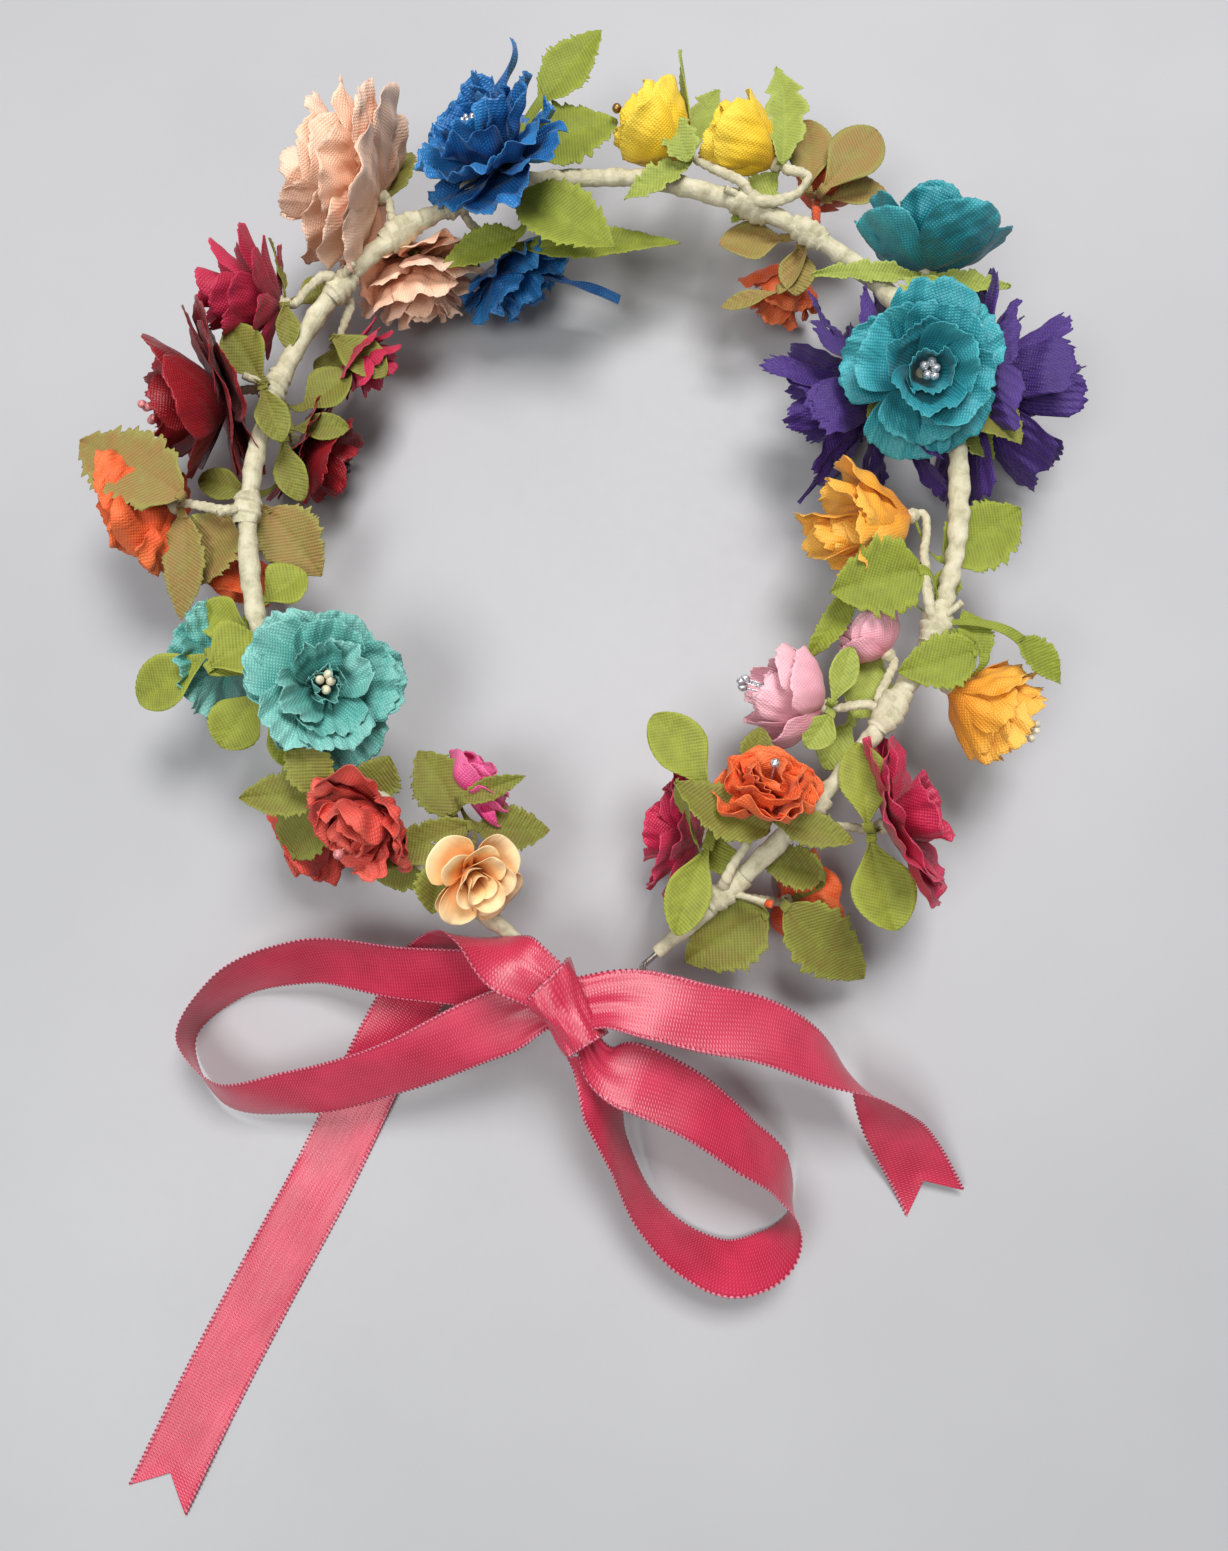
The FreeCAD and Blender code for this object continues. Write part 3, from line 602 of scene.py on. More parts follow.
def heads_of(pick):
    """The pick's two flower cones, the outer one first."""
    solids = sorted(islands(f"{pick}_flowers"), key=lambda solid: -sum(area for _, area in solid[1]))
    cones = [cone_of(*solid) for solid in solids[:2]]
    return sorted(cones, key=lambda cone: -np.linalg.norm((cone["hub"] + cone["axis"] * cone["depth"])[:2]))


# A leaf whose face leans less than this from upright counts as standing on edge.
UPRIGHT = 0.01


def blades_of(pick, heads):
    """The pick's leaves, each with its base nearer a calyx, its tip, its width and its face, which
    looks up, or towards the ring's middle on a leaf that stands on edge."""
    blades = []
    for points, faces in islands(f"{pick}_leaves"):
        spans = np.linalg.norm(points[:, None] - points[None], axis=2)
        first, second = np.unravel_index(spans.argmax(), spans.shape)
        ends = [points[first], points[second]]
        ends.sort(key=lambda end: min(np.linalg.norm(end - head["hub"]) for head in heads))
        normal = max(faces, key=lambda face: face[1])[0]
        inward = -(normal[:2] @ ends[0][:2])
        if (inward if abs(normal[2]) < UPRIGHT else normal[2]) < 0:
            normal = -normal
        length = ends[1] - ends[0]
        across = unit(np.cross(normal, length))
        offsets = (points - ends[0]) @ across
        blades.append({
            "base": ends[0], "tip": ends[1], "face": unit(normal),
            "width": offsets.max() - offsets.min(),
        })
    return blades


def ring_joint(name):
    return next(joint for joint in frame["joints"] if joint["name"] == name)


# ---- flowers

HUB_RADIUS = 2.2
# What a whorl's petals are like where its style doesn't say. Base and tip are leans from the
# flower's axis in degrees, length is a share of the cone's slant, and width is a share of the
# room that each petal has at two thirds of its length.
WHORL_FACTS = ("count", "length", "base", "tip", "width")
USUAL_PETAL = {
    "point": 0.25, "bluntness": 2.4, "ruffle": 0.6, "waves": 2.0, "crumple": 0.25, "pleats": 0.0,
    "folds": 5, "crimp": 0.16, "wrap": 1.4, "ragged": 0.02, "curl": 0.0, "narrow": 0.35, "twist": 8.0,
    "loose": 8.0,
}


def whorls(rows, **style):
    """Whorls from the outermost in, each row giving WHORL_FACTS and the style what they share."""
    return [{**USUAL_PETAL, **style, **dict(zip(WHORL_FACTS, row))} for row in rows]


STYLES = {
    "paper_rose": whorls(
        [(4, 1.0, 82, 58, 1.15), (5, 0.98, 55, 40, 1.15), (4, 0.9, 32, 22, 1.2), (3, 0.78, 14, 2, 1.3)],
        ruffle=0.3, waves=1.0, crumple=0.12, crimp=0.0, ragged=0.0, curl=38, point=0.32, wrap=1.0),
    "ruffle_rose": whorls(
        [(6, 0.98, 82, 74, 1.3), (5, 0.9, 64, 58, 1.35), (4, 0.78, 42, 34, 1.35), (3, 0.66, 18, 6, 1.5)],
        ruffle=1.0, waves=2.5, crumple=0.4, crimp=0.34, ragged=0.03, curl=12, loose=10),
    "open_rose": whorls(
        [(5, 1.0, 84, 76, 1.25), (4, 0.92, 66, 55, 1.35), (3, 0.82, 42, 26, 1.5), (2, 0.68, 22, 4, 1.6)],
        ruffle=0.9, waves=1.8, crumple=0.3, crimp=0.4, ragged=0.03, curl=14, loose=10),
    "shell": whorls(
        [(5, 0.98, 82, 20, 1.0), (5, 0.96, 58, 12, 1.1), (4, 0.86, 34, 4, 1.2)],
        ruffle=0.5, waves=1.4, crumple=0.32, crimp=0.14, ragged=0.01, curl=12,
        point=0.2, bluntness=3.0, loose=9, pleats=0.3, folds=3, narrow=0.4),
    "pompon": whorls(
        [(6, 0.98, 100, 84, 1.25), (7, 1.04, 76, 66, 1.3), (6, 1.06, 54, 50, 1.3), (5, 1.04, 34, 34, 1.3),
         (4, 0.98, 14, 14, 1.4)],
        ruffle=0.9, waves=1.3, crumple=0.4, crimp=0.04, pleats=0.3, folds=4, loose=9, curl=-6,
        point=0.2),
    "crumpled": whorls(
        [(5, 1.02, 88, 38, 1.3), (5, 1.0, 62, 20, 1.35), (4, 0.98, 40, 8, 1.4), (3, 0.9, 20, -4, 1.5)],
        ruffle=0.6, waves=1.0, crumple=1.05, crimp=0.04, ragged=0.015, loose=14, twist=20),
    "discs": whorls(
        [(6, 0.94, 90, 92, 1.2), (6, 0.92, 80, 84, 1.2), (5, 0.98, 56, 38, 1.25), (4, 0.98, 34, 14, 1.3),
         (3, 0.9, 14, 0, 1.4)],
        ruffle=0.35, waves=1.2, crumple=0.18, crimp=0.06, curl=6, point=0.22, wrap=1.8, loose=6),
    "narrow": whorls(
        [(7, 0.82, 80, 72, 0.95), (6, 0.94, 56, 44, 1.0), (5, 1.0, 34, 22, 1.05), (4, 1.0, 14, 8, 1.1)],
        ruffle=0.25, waves=1.0, crumple=0.15, crimp=0.04, point=0.24, bluntness=2.8, curl=10, wrap=1.0,
        loose=9, twist=10, narrow=0.5),
    "twisted": whorls(
        [(6, 0.98, 86, 70, 1.3), (6, 1.0, 66, 46, 1.35), (5, 1.0, 42, 26, 1.35), (4, 0.88, 20, 4, 1.5)],
        ruffle=1.2, waves=1.9, crumple=0.65, crimp=0.2, ragged=0.025, loose=12, twist=16),
    "bud": whorls(
        [(4, 0.98, 66, -6, 1.35), (4, 1.06, 46, -10, 1.4), (3, 1.02, 26, -8, 1.5)],
        ruffle=0.55, waves=1.4, crumple=0.3, crimp=0.12, point=0.28, curl=16, wrap=1.0,
        narrow=0.5, twist=10),
    "rounded_bud": whorls(
        [(5, 0.98, 84, 2, 1.25), (5, 1.04, 60, -8, 1.3), (4, 1.0, 36, -10, 1.4)],
        ruffle=0.3, waves=1.2, crumple=0.18, crimp=0.08, point=0.2, curl=10, loose=7, wrap=1.1, narrow=0.5),
    "pleated": whorls(
        [(6, 1.0, 82, 72, 0.95), (6, 1.08, 52, 44, 0.95), (5, 1.12, 24, 18, 1.0), (3, 0.8, 8, 6, 1.2)],
        ruffle=0.5, waves=1.2, crumple=0.25, crimp=0.06, pleats=0.75, folds=6, point=0.13, bluntness=2.8,
        ragged=0.028, narrow=0.24, loose=7, wrap=2.0),
    "drooping": whorls(
        [(7, 1.06, 78, 104, 0.62), (7, 1.1, 56, 78, 0.66), (6, 1.12, 34, 44, 0.8), (5, 0.95, 16, 18, 0.95)],
        ruffle=0.5, waves=1.0, crumple=0.5, crimp=0.12, pleats=0.5, folds=3, point=0.2,
        ragged=0.035, narrow=0.38, loose=14, wrap=0.9, twist=32),
    "soft": whorls(
        [(5, 0.82, 56, 30, 1.3), (5, 0.96, 38, 20, 1.3), (4, 1.0, 22, 10, 1.3), (3, 0.8, 8, 2, 1.4)],
        ruffle=0.8, waves=1.4, crumple=0.45, crimp=0.08, point=0.26, bluntness=2.2, ragged=0.03, curl=10,
        loose=11, twist=16),
    "scallop": whorls(
        [(5, 1.02, 82, 76, 1.25), (5, 0.94, 66, 52, 1.25), (4, 0.78, 40, 22, 1.3)],
        ruffle=0.55, waves=2.2, crumple=0.3, crimp=0.07, pleats=0.2, ragged=0.012, curl=8, loose=7,
        point=0.2),
}


def petal_curve(whorl, length, chance):
    """A petal's middle line from the hub: its steps, distance out, height and lean at each."""
    steps = np.linspace(0, 1.25, 60)
    lean = np.radians(whorl["base"] + (whorl["tip"] - whorl["base"]) * steps
                      + whorl["curl"] * smooth_step(0.55, 1.05, steps)
                      + chance.uniform(-1, 1) * whorl["loose"])
    stride = length * (steps[1] - steps[0])
    outward = 1.2 + np.concatenate(([0], np.cumsum(np.sin(lean[:-1]) * stride)))
    upward = np.concatenate(([0], np.cumsum(np.cos(lean[:-1]) * stride)))
    return steps, outward, upward, lean


def petal_bulge(whorl, across, along, arc, length, chance):
    """How far a petal's cloth stands off its smooth shape: ruffles, pleats, crimps and crumples."""
    phase = chance.uniform(0, FULL_TURN, 4)
    wave = np.sin(whorl["waves"] * math.pi * across + phase[0])
    wave = wave + 0.6 * np.sin(1.9 * whorl["waves"] * math.pi * across + phase[1])
    bulge = whorl["ruffle"] * wave * along ** 2.2
    pleat = np.abs(np.sin(whorl["folds"] * math.pi / 2 * across + 0.4 * phase[2])) - 0.6
    bulge = bulge + whorl["pleats"] * pleat * np.sin(math.pi * np.clip(along, 0.05, 0.9)) ** 0.6
    crimps = np.sin(11 * math.pi * across + phase[3] + 2 * along)
    bulge = bulge + whorl["crimp"] * crimps * smooth_step(0.45, 1.0, along)
    for _ in range(5):
        pace = chance.normal(0, 0.6, 2)
        crumple = np.sin(pace[0] * arc + pace[1] * along * length + chance.uniform(0, 6.3))
        bulge = bulge + whorl["crumple"] * 0.55 * crumple * np.clip(along * 2, 0, 1)
    return bulge


def petal_points(whorl, head, azimuth, chance):
    """One petal as a grid in the flower's own frame, with its weave and place coordinates."""
    rows = 22
    columns = 31
    slant = math.hypot(head["radius"] - HUB_RADIUS, head["depth"])
    length = slant * whorl["length"] * chance.uniform(0.9, 1.06)
    down = down_rows(0, 1, rows)
    across = np.linspace(-1, 1, columns)
    nicks = np.convolve(chance.normal(0, 1, columns + 2), (0.2, 0.6, 0.2), "valid")
    reach = 1 - whorl["point"] * np.abs(across) ** whorl["bluntness"] + whorl["ragged"] * nicks
    along = down * (1 + (reach - 1) * down ** 1.5)

    steps, *curve = petal_curve(whorl, length, chance)
    radial, height, lean = [np.interp(along, steps, values) for values in curve]
    full_radius = max(np.interp(0.66, steps, curve[0]), 0.3 * length)
    full_width = min(whorl["width"] * FULL_TURN * full_radius / whorl["count"], 1.35 * length)
    widening = np.sin(math.pi / 2 * np.clip(along / 0.72, 0, 1))
    half = full_width / 2 * (whorl["narrow"] + (1 - whorl["narrow"]) * widening)
    arc = across * half
    bend_radius = np.maximum(np.abs(radial) * whorl["wrap"], half * 0.6)
    lateral = bend_radius * np.sin(arc / bend_radius)
    lift = bend_radius * (1 - np.cos(arc / bend_radius))

    bulge = petal_bulge(whorl, across, along, arc, length, chance)
    turn = np.radians(chance.uniform(-1, 1) * whorl["twist"]) * along ** 1.3
    lift, lateral = lift + bulge + lateral * np.sin(turn), lateral * np.cos(turn)
    out = radial - np.cos(lean) * lift
    high = height + np.sin(lean) * lift
    points = np.stack((
        out * math.cos(azimuth) - lateral * math.sin(azimuth),
        out * math.sin(azimuth) + lateral * math.cos(azimuth), high), -1)
    return points, pair(arc, along * length), pair(along, chance.uniform(0, 1))


def to_world(head, local):
    return moved(head["hub"], *zip(np.moveaxis(local, -1, 0), basis_about(head["axis"])))


def flower_head(patch, head, style, slot, seed, ceiling=None):
    """All whorls of one flower, each turned half a petal from the one outside it."""
    chance = np.random.default_rng(seed)
    for level, whorl in enumerate(STYLES[style]):
        step = FULL_TURN / whorl["count"]
        for index in range(whorl["count"]):
            azimuth = step * (index + 0.5 * level) + chance.uniform(-0.2, 0.2) * step + seed
            points, cloth, place = petal_points(whorl, head, azimuth, chance)
            patch.grid(above_floor(to_world(head, points), ceiling), cloth, place, slot=slot)


def stamen_cluster(patch, head, beads, slot, seed):
    """Beads on fine stalks in the flower's middle."""
    count, radii, height, spread = beads
    chance = np.random.default_rng(seed + 500)
    for index in range(count):
        turn = FULL_TURN * index / count + chance.uniform(-0.4, 0.4)
        out = spread * chance.uniform(0.6, 1.0)
        heading = np.array((math.cos(turn), math.sin(turn), 0))
        top = out * heading + (0, 0, head["depth"] * height + chance.uniform(-0.8, 0.8))
        foot = 0.3 * heading + (0, 0, 1.0)
        ends = to_world(head, np.stack((foot, top)))
        path = np.linspace(ends[0], ends[1], 6)
        tube(patch, path, np.full(6, 0.18), sides=6, slot=slot)
        bead(patch, ends[1], radii, ends[1] - ends[0], slot=slot)


def long_tip(patch, head, reach, width, slot, seed):
    """One long narrow petal that twists to a frayed point, reaching out from the calyx."""
    chance = np.random.default_rng(seed)
    rows = 60
    columns = 9
    reach = np.array(reach, float)
    sag = np.cross(unit(reach), head["axis"]) * 2.5
    marks = down_rows(0, 1, rows)
    middles = head["hub"] + head["axis"] * 3 + marks * (reach - head["axis"] * 3)
    middles = middles + np.sin(3 * math.pi * marks) * sag * marks
    half = width / 2 * (1 - 0.7 * marks ** 1.5) * (0.85 + 0.15 * np.sin(9 * marks))
    forward = unit(reach)
    side = unit(np.cross(forward, (0.2, 0.1, 1.0)))
    upward = np.cross(side, forward)
    turn = 1.8 * marks ** 1.5 + 0.2
    across = np.linspace(-1, 1, columns)
    arc = across * half
    cup = 0.5 * np.abs(across) * half + 0.3 * np.sin(14 * marks + 5 * across)
    flat = arc * np.cos(turn) - cup * np.sin(turn)
    lift = arc * np.sin(turn) + cup * np.cos(turn)
    points = moved(middles[:, None], (flat, side), (lift, upward))
    cloth = pair(arc, marks * np.linalg.norm(reach))
    place = pair(0.9 * marks, np.full(columns, chance.uniform(0, 1)))
    patch.grid(above_floor(points), cloth, place, slot=slot)


# Each pick's flowers, outer then inner: the style and, where beads show, their finish, count,
# radii, height in the cone and spread. Then its leaves' outline and tone.
SMALL = (0.7, 0.9)
PICKS = {
    "cream_pink": (["paper_rose"], ["crumpled"], "serrate", "olive"),
    "coral": (["crumpled", "pearl", 3, SMALL, 0.9, 1.4],
              ["crumpled", "rose_pearl", 1, (1.2, 1.2), 1.2, 0.5], "serrate", "olive"),
    "aqua": (["ruffle_rose"], ["ruffle_rose", "pearl", 4, (1.05, 1.7), 0.98, 2.0], "round", "lime"),
    "orange": (["crumpled"], ["crumpled"], "serrate", "brown"),
    "crimson": (["discs", "rose_pearl", 5, (1.0, 1.1), 1.22, 2.4],
                ["discs", "dark_pearl", 4, SMALL, 1.1, 1.6], "round", "olive"),
    "cherry": (["narrow"], ["narrow", "dark_pearl", 4, SMALL, 0.95, 1.4], "round", "olive"),
    "peach": (["pompon"], ["pompon"], "serrate", "olive"),
    "blue": (["twisted", "silver", 6, (0.6, 0.7), 0.95, 1.8], ["twisted"], "serrate", "green"),
    "yellow": (["bud"], ["bud", "gold", 1, (1.2, 1.2), 1.18, 1.5], "jagged", "pale"),
    "vermilion": (["rounded_bud"], ["soft", "dark_pearl", 3, SMALL, 0.9, 1.4], "round", "brown"),
    "teal": (["shell"], ["open_rose", "silver", 5, (1.1, 1.35), 0.8, 1.8], "jagged", "pale"),
    "purple": (["pleated"], ["drooping"], "serrate", "olive"),
    "amber": (["soft", "pearl", 7, (0.8, 0.9), 1.2, 2.2], ["soft"], "serrate", "green"),
    "pink": (["rounded_bud"], ["rounded_bud", "silver", 5, (0.9, 1.2), 1.3, 1.8], "round", "pale"),
    "raspberry": (["scallop", "dark_pearl", 7, (0.9, 1.0), 0.55, 1.8], ["scallop"], "round", "lime"),
    "tangerine": (["crumpled"], ["crumpled", "silver", 1, (1.1, 1.1), 1.35, 0.5], "serrate", "olive"),
}
# The petal tones of a pick that isn't named for the one tone it has.
TWO_TONES = {"cream_pink": ("cream", "hot_pink")}
# How far a flower's cloth sits from its CAD cone, in mm, as pick and flower: the teal flower
# leans over the purple ones, whose petals stay under it.
SHIFTS = {("teal", 1): (0.5, -9.0, 3.5), ("tangerine", 0): (0, 0, -2.0), ("vermilion", 0): (0, 0, -2.0)}
CEILINGS = {"purple": 41.0}
# Flowers whose cloth is fuller or tighter than the CAD cone.
FULLNESS = {
    ("tangerine", 0): 0.85, ("vermilion", 0): 0.82, ("blue", 0): 1.08, ("pink", 1): 1.12,
    ("pink", 0): 1.1,
}
# Long twisted petal tips, as pick and flower: the reach from the calyx and the width.
LONG_TIPS = {
    ("blue", 0): ((4, 29, 8), 13.0),
    ("blue", 1): ((32, -10, -5), 10.0),
    ("purple", 1): ((-24, -26, -14), 7.0),
}


# ---- leaves

# Toothed outlines: how far down the leaf is widest, how full it is, and its teeth's depth,
# number and start.
TOOTHED = {"jagged": (0.85, 0.75, 0.34, 4.0, 0.2), "serrate": (0.78, 0.8, 0.16, 7.0, 0.0)}
WIDENING = {"round": 1.22, "jagged": 1.35, "serrate": 1.5}


def leaf_half_width(outline, along):
    """Half the width of a leaf's outline as a share of its greatest half-width."""
    if outline == "round":
        narrow_base = 0.45 + 0.55 * smooth_step(0, 0.5, along)
        return np.sin(math.pi * along ** 1.2) ** 0.6 * narrow_base
    widest, fullness, depth, count, start = TOOTHED[outline]
    teeth = 1 - depth * ((along * count + start) % 1)
    return np.sin(math.pi * along ** widest) ** fullness * teeth


def leaf(patch, blade, outline, anchors, seed):
    """A fabric leaf: folded along its rib, bowed, with a waved and toothed rim, and its neck."""
    chance = np.random.default_rng(seed)
    rows = 61
    columns = 15
    length = np.linalg.norm(blade["tip"] - blade["base"]) * (1.08 if outline == "round" else 1.16)
    forward = unit(blade["tip"] - blade["base"])
    side = unit(np.cross(blade["face"], forward))
    upward = np.cross(forward, side)
    along = down_rows(0, 1, rows)
    across = np.linspace(-1, 1, columns)
    half = blade["width"] / 2 * WIDENING[outline] * np.maximum(leaf_half_width(outline, along), 0.02)
    half = half * (1 + 0.05 * chance.normal(0, 1, rows)[:, None] * (outline != "round"))
    arc = across * half
    fold = chance.uniform(0.12, 0.34)
    bow = chance.uniform(-0.02, 0.14) * length
    lift = fold * np.abs(arc) - bow * (along - 0.3) ** 2 * 1.4
    wave = np.sin(chance.uniform(5, 9) * along + chance.uniform(0, 6) + 1.2 * across)
    lift = lift + 0.55 * wave * np.abs(across) ** 1.5
    groove = np.exp(-(arc / 0.5) ** 2)
    side_veins = np.sin(2.6 * (along * length - 1.1 * np.abs(arc))) * np.clip(np.abs(arc), 0, 1)
    lift = lift - 0.22 * groove + 0.12 * side_veins
    sway = chance.uniform(-0.05, 0.05) * length * np.sin(math.pi * along)
    twist = np.radians(chance.uniform(-16, 16)) * along
    flat = arc * np.cos(twist) + sway
    lift = lift + arc * np.sin(twist)
    points = moved(blade["base"], (along * length, forward), (flat, side), (lift, upward))
    patch.grid(above_floor(points), pair(arc, along * length), pair(along, np.abs(across)))
    leaf_neck(patch, blade["base"] + forward * 1.2, forward, side, anchors)


def leaf_neck(patch, base, forward, side, anchors):
    """The narrow strip that joins a leaf to the calyx or stem nearest to it."""
    anchor = min(anchors, key=lambda point: np.linalg.norm(point - base))
    reach = np.linalg.norm(base - anchor)
    marks = down_rows(0, 1, 14)
    bend = base - forward * 0.45 * reach
    line = (1 - marks) ** 2 * anchor + 2 * marks * (1 - marks) * bend + marks ** 2 * base
    across = np.linspace(-1, 1, 5)
    half = 0.9 + 0.5 * marks
    points = moved(line[:, None], (across * half, side))
    points[..., 2] += 0.25 * np.abs(across) * half
    patch.grid(above_floor(points), pair(across * half, marks * reach), pair(0 * marks, 0.3 * np.abs(across)))


# ---- the ring and the stems

def section_middles(node, start_angle):
    """Middles of the cross-sections of a CAD tube that runs round the origin."""
    points = np.array([vertex.co for vertex in frame["nodes"][node].data.vertices]) / MM
    angles = np.degrees(np.arctan2(points[:, 1], points[:, 0]))
    angles = (angles - start_angle) % 360
    order = np.argsort(angles)
    gap = 0.4
    groups = np.split(order, np.where(np.diff(angles[order]) > gap)[0] + 1)
    return np.array([(points[group].min(0) + points[group].max(0)) / 2 for group in groups])


def ring_line():
    """The ring's centre line from its left front end to its right one."""
    left = section_middles("ring_tape_left", 90)[::-1]
    right = section_middles("ring_tape_right", -95)[::-1]
    return np.concatenate((left, right))


def ring_tape(finishes):
    """The taped ring: overlapping turns of crepe tape, twisted like cord in places."""
    smoothing = 31
    path = spline(ring_line(), 1150)
    padded = [np.pad(axis, smoothing // 2, "edge") for axis in path.T]
    path = np.stack([np.convolve(axis, np.ones(smoothing) / smoothing, "valid") for axis in padded], -1)
    marks = np.linspace(0, 1, len(path))
    chance = np.random.default_rng(7)
    radii = 2.35 + 0.12 * np.sin(marks * 61) + 0.08 * np.sin(marks * 143 + 1)
    left_taper = 0.42 + 0.58 * smooth_step(0, 0.045, marks)
    right_taper = 0.75 + 0.25 * smooth_step(0, 0.02, 1 - marks)
    radii = radii * left_taper * right_taper
    cord_like = 0.03
    for middle, depth in ((0.80, 0.10), (0.43, 0.09)):
        cord_like = cord_like + depth * np.exp(-((marks - middle) / 0.05) ** 2)
    patch = Patchwork()
    tube(patch, path, radii + chance.normal(0, 0.012, len(path)), sides=26, ridge=0.32, pitch=7.5,
         lobes=cord_like, seed=3)
    piece = patch.piece("ring_tape", [finishes["tape"]])
    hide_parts("ring_tape_left", "ring_tape_right")
    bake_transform(piece)


def binding(patch, root, tangent, seed):
    """Extra turns of tape that bind the twin stem to the ring."""
    chance = np.random.default_rng(seed)
    reach = chance.uniform(4.2, 6.0)
    marks = np.linspace(-1, 1, 34)
    path = root + np.outer(marks * reach, tangent)
    radii = 2.45 + chance.uniform(0.7, 1.2) * np.clip(1 - np.abs(marks) ** 3, 0, 1)
    tube(patch, path, radii, sides=24, ridge=0.75, pitch=chance.uniform(2.2, 3.2), seed=seed, cap=False)


def stem_path(root, tangent, head):
    """A stem's line: out of the binding, over, and straight into the calyx."""
    calyx = head["hub"] - head["axis"] * 0.6
    run = calyx - root
    aside = run - tangent * (run @ tangent)
    if np.linalg.norm(aside) < 0.6 * np.linalg.norm(run):
        aside = aside + np.array((0, 0, np.linalg.norm(run)))
        aside = aside - tangent * (aside @ tangent)
    start = root + unit(aside) * 1.6
    out = root + unit(aside) * 3.9 + run * 0.1
    neck = calyx - head["axis"] * 1.8
    middle = (out * 0.5 + neck * 0.5) + np.array((0, 0, 0.5))
    return np.array([start, out, middle, neck, calyx])


# Stems that wander, as points between the binding and the calyx, from the binding.
WANDERING = {("yellow", 0): [(1.5, -1, 3), (12.5, 1.5, 4), (14.5, 4.5, 5), (9.5, 7.5, 4)]}
# Short wire ends left standing, as the way they point from the binding.
WIRE_ENDS = {
    "tangerine": (9.5, -3.5, 6), "orange": (-5, -3, 5), "cherry": (4, 3, 4.5), "yellow": (-6, 2, 3.5),
    "crimson": (-6, 1.5, 4.5), "amber": (5, 4, 3.5), "aqua": (-4, 2, 4),
}
# The thin bare wire beside the cream rose, from the rose's hub.
BARE_WIRE = [(-8.0, 6.0, 5.5), (-5.5, 4.8, 4.6), (-2.0, 2.4, 2.4)]
# The second finish on a pick's wires: vermilion wraps one stem, tangerine tips a wire end.
SECOND_WRAPS = {"vermilion": "vermilion", "tangerine": "tangerine", "cream_pink": "steel"}


def stem(patch, root, tangent, head, between, slot, seed, knuckle_seed):
    """One paper-wrapped wire from the binding to a calyx, with the knuckle under the flower."""
    points = 70
    stations = stem_path(root, tangent, head)
    if between:
        stations = np.concatenate((stations[:1], root + np.array(between), stations[-2:]))
    tube(patch, spline(stations, points), np.linspace(1.35, 1.0, points), sides=14, ridge=0.32, pitch=2.3,
         seed=seed, slot=slot)
    calyx, axis = stations[-1], head["axis"]
    knuckle = np.linspace(calyx - axis * 1.6, calyx + axis * 1.2, 12)
    tube(patch, knuckle, 1.1 + 0.9 * np.sin(np.linspace(0.3, 2.6, 12)), sides=14, ridge=0.3, pitch=1.4,
         seed=knuckle_seed)


def stems(pick, heads, finishes, seed):
    """The pick's paper-wrapped wires from the binding to each calyx, and its bare wire ends."""
    joint = ring_joint(f"{pick}_roll")
    root = millimetres(joint["pos_m"])
    tangent = unit(np.array(joint["axis"], float))
    patch = Patchwork()
    binding(patch, root, tangent, seed)
    for number, head in enumerate(heads):
        slot = 1 if (pick, number) == ("vermilion", 0) else 0
        stem(patch, root, tangent, head, WANDERING.get((pick, number)), slot, seed + number, seed + 5)
    if pick in WIRE_ENDS:
        reach = np.array(WIRE_ENDS[pick], float)
        end = root + reach
        wire = spline([root + unit(reach) * 2, root + reach * 0.6 + (0, 0, 0.8), end], 24)
        tube(patch, wire, np.full(24, 0.85), sides=12, ridge=0.2, pitch=2.0, seed=seed + 7)
        tip = np.linspace(end - unit(reach) * 0.8, end + unit(reach) * 0.8, 5)
        tube(patch, tip, np.full(5, 0.95), sides=12, slot=1 if pick == "tangerine" else 0)
    if pick == "cream_pink":
        wire = spline(heads[0]["hub"] + np.array(BARE_WIRE), 30)
        tube(patch, wire, np.full(30, 0.28), sides=8, slot=1)
    wraps = ["tape"] + ([SECOND_WRAPS[pick]] if pick in SECOND_WRAPS else [])
    piece = patch.piece(f"{pick}_wire", [finishes[name] for name in wraps])
    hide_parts(f"{pick}_stem")
    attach(piece, f"{pick}_pick")


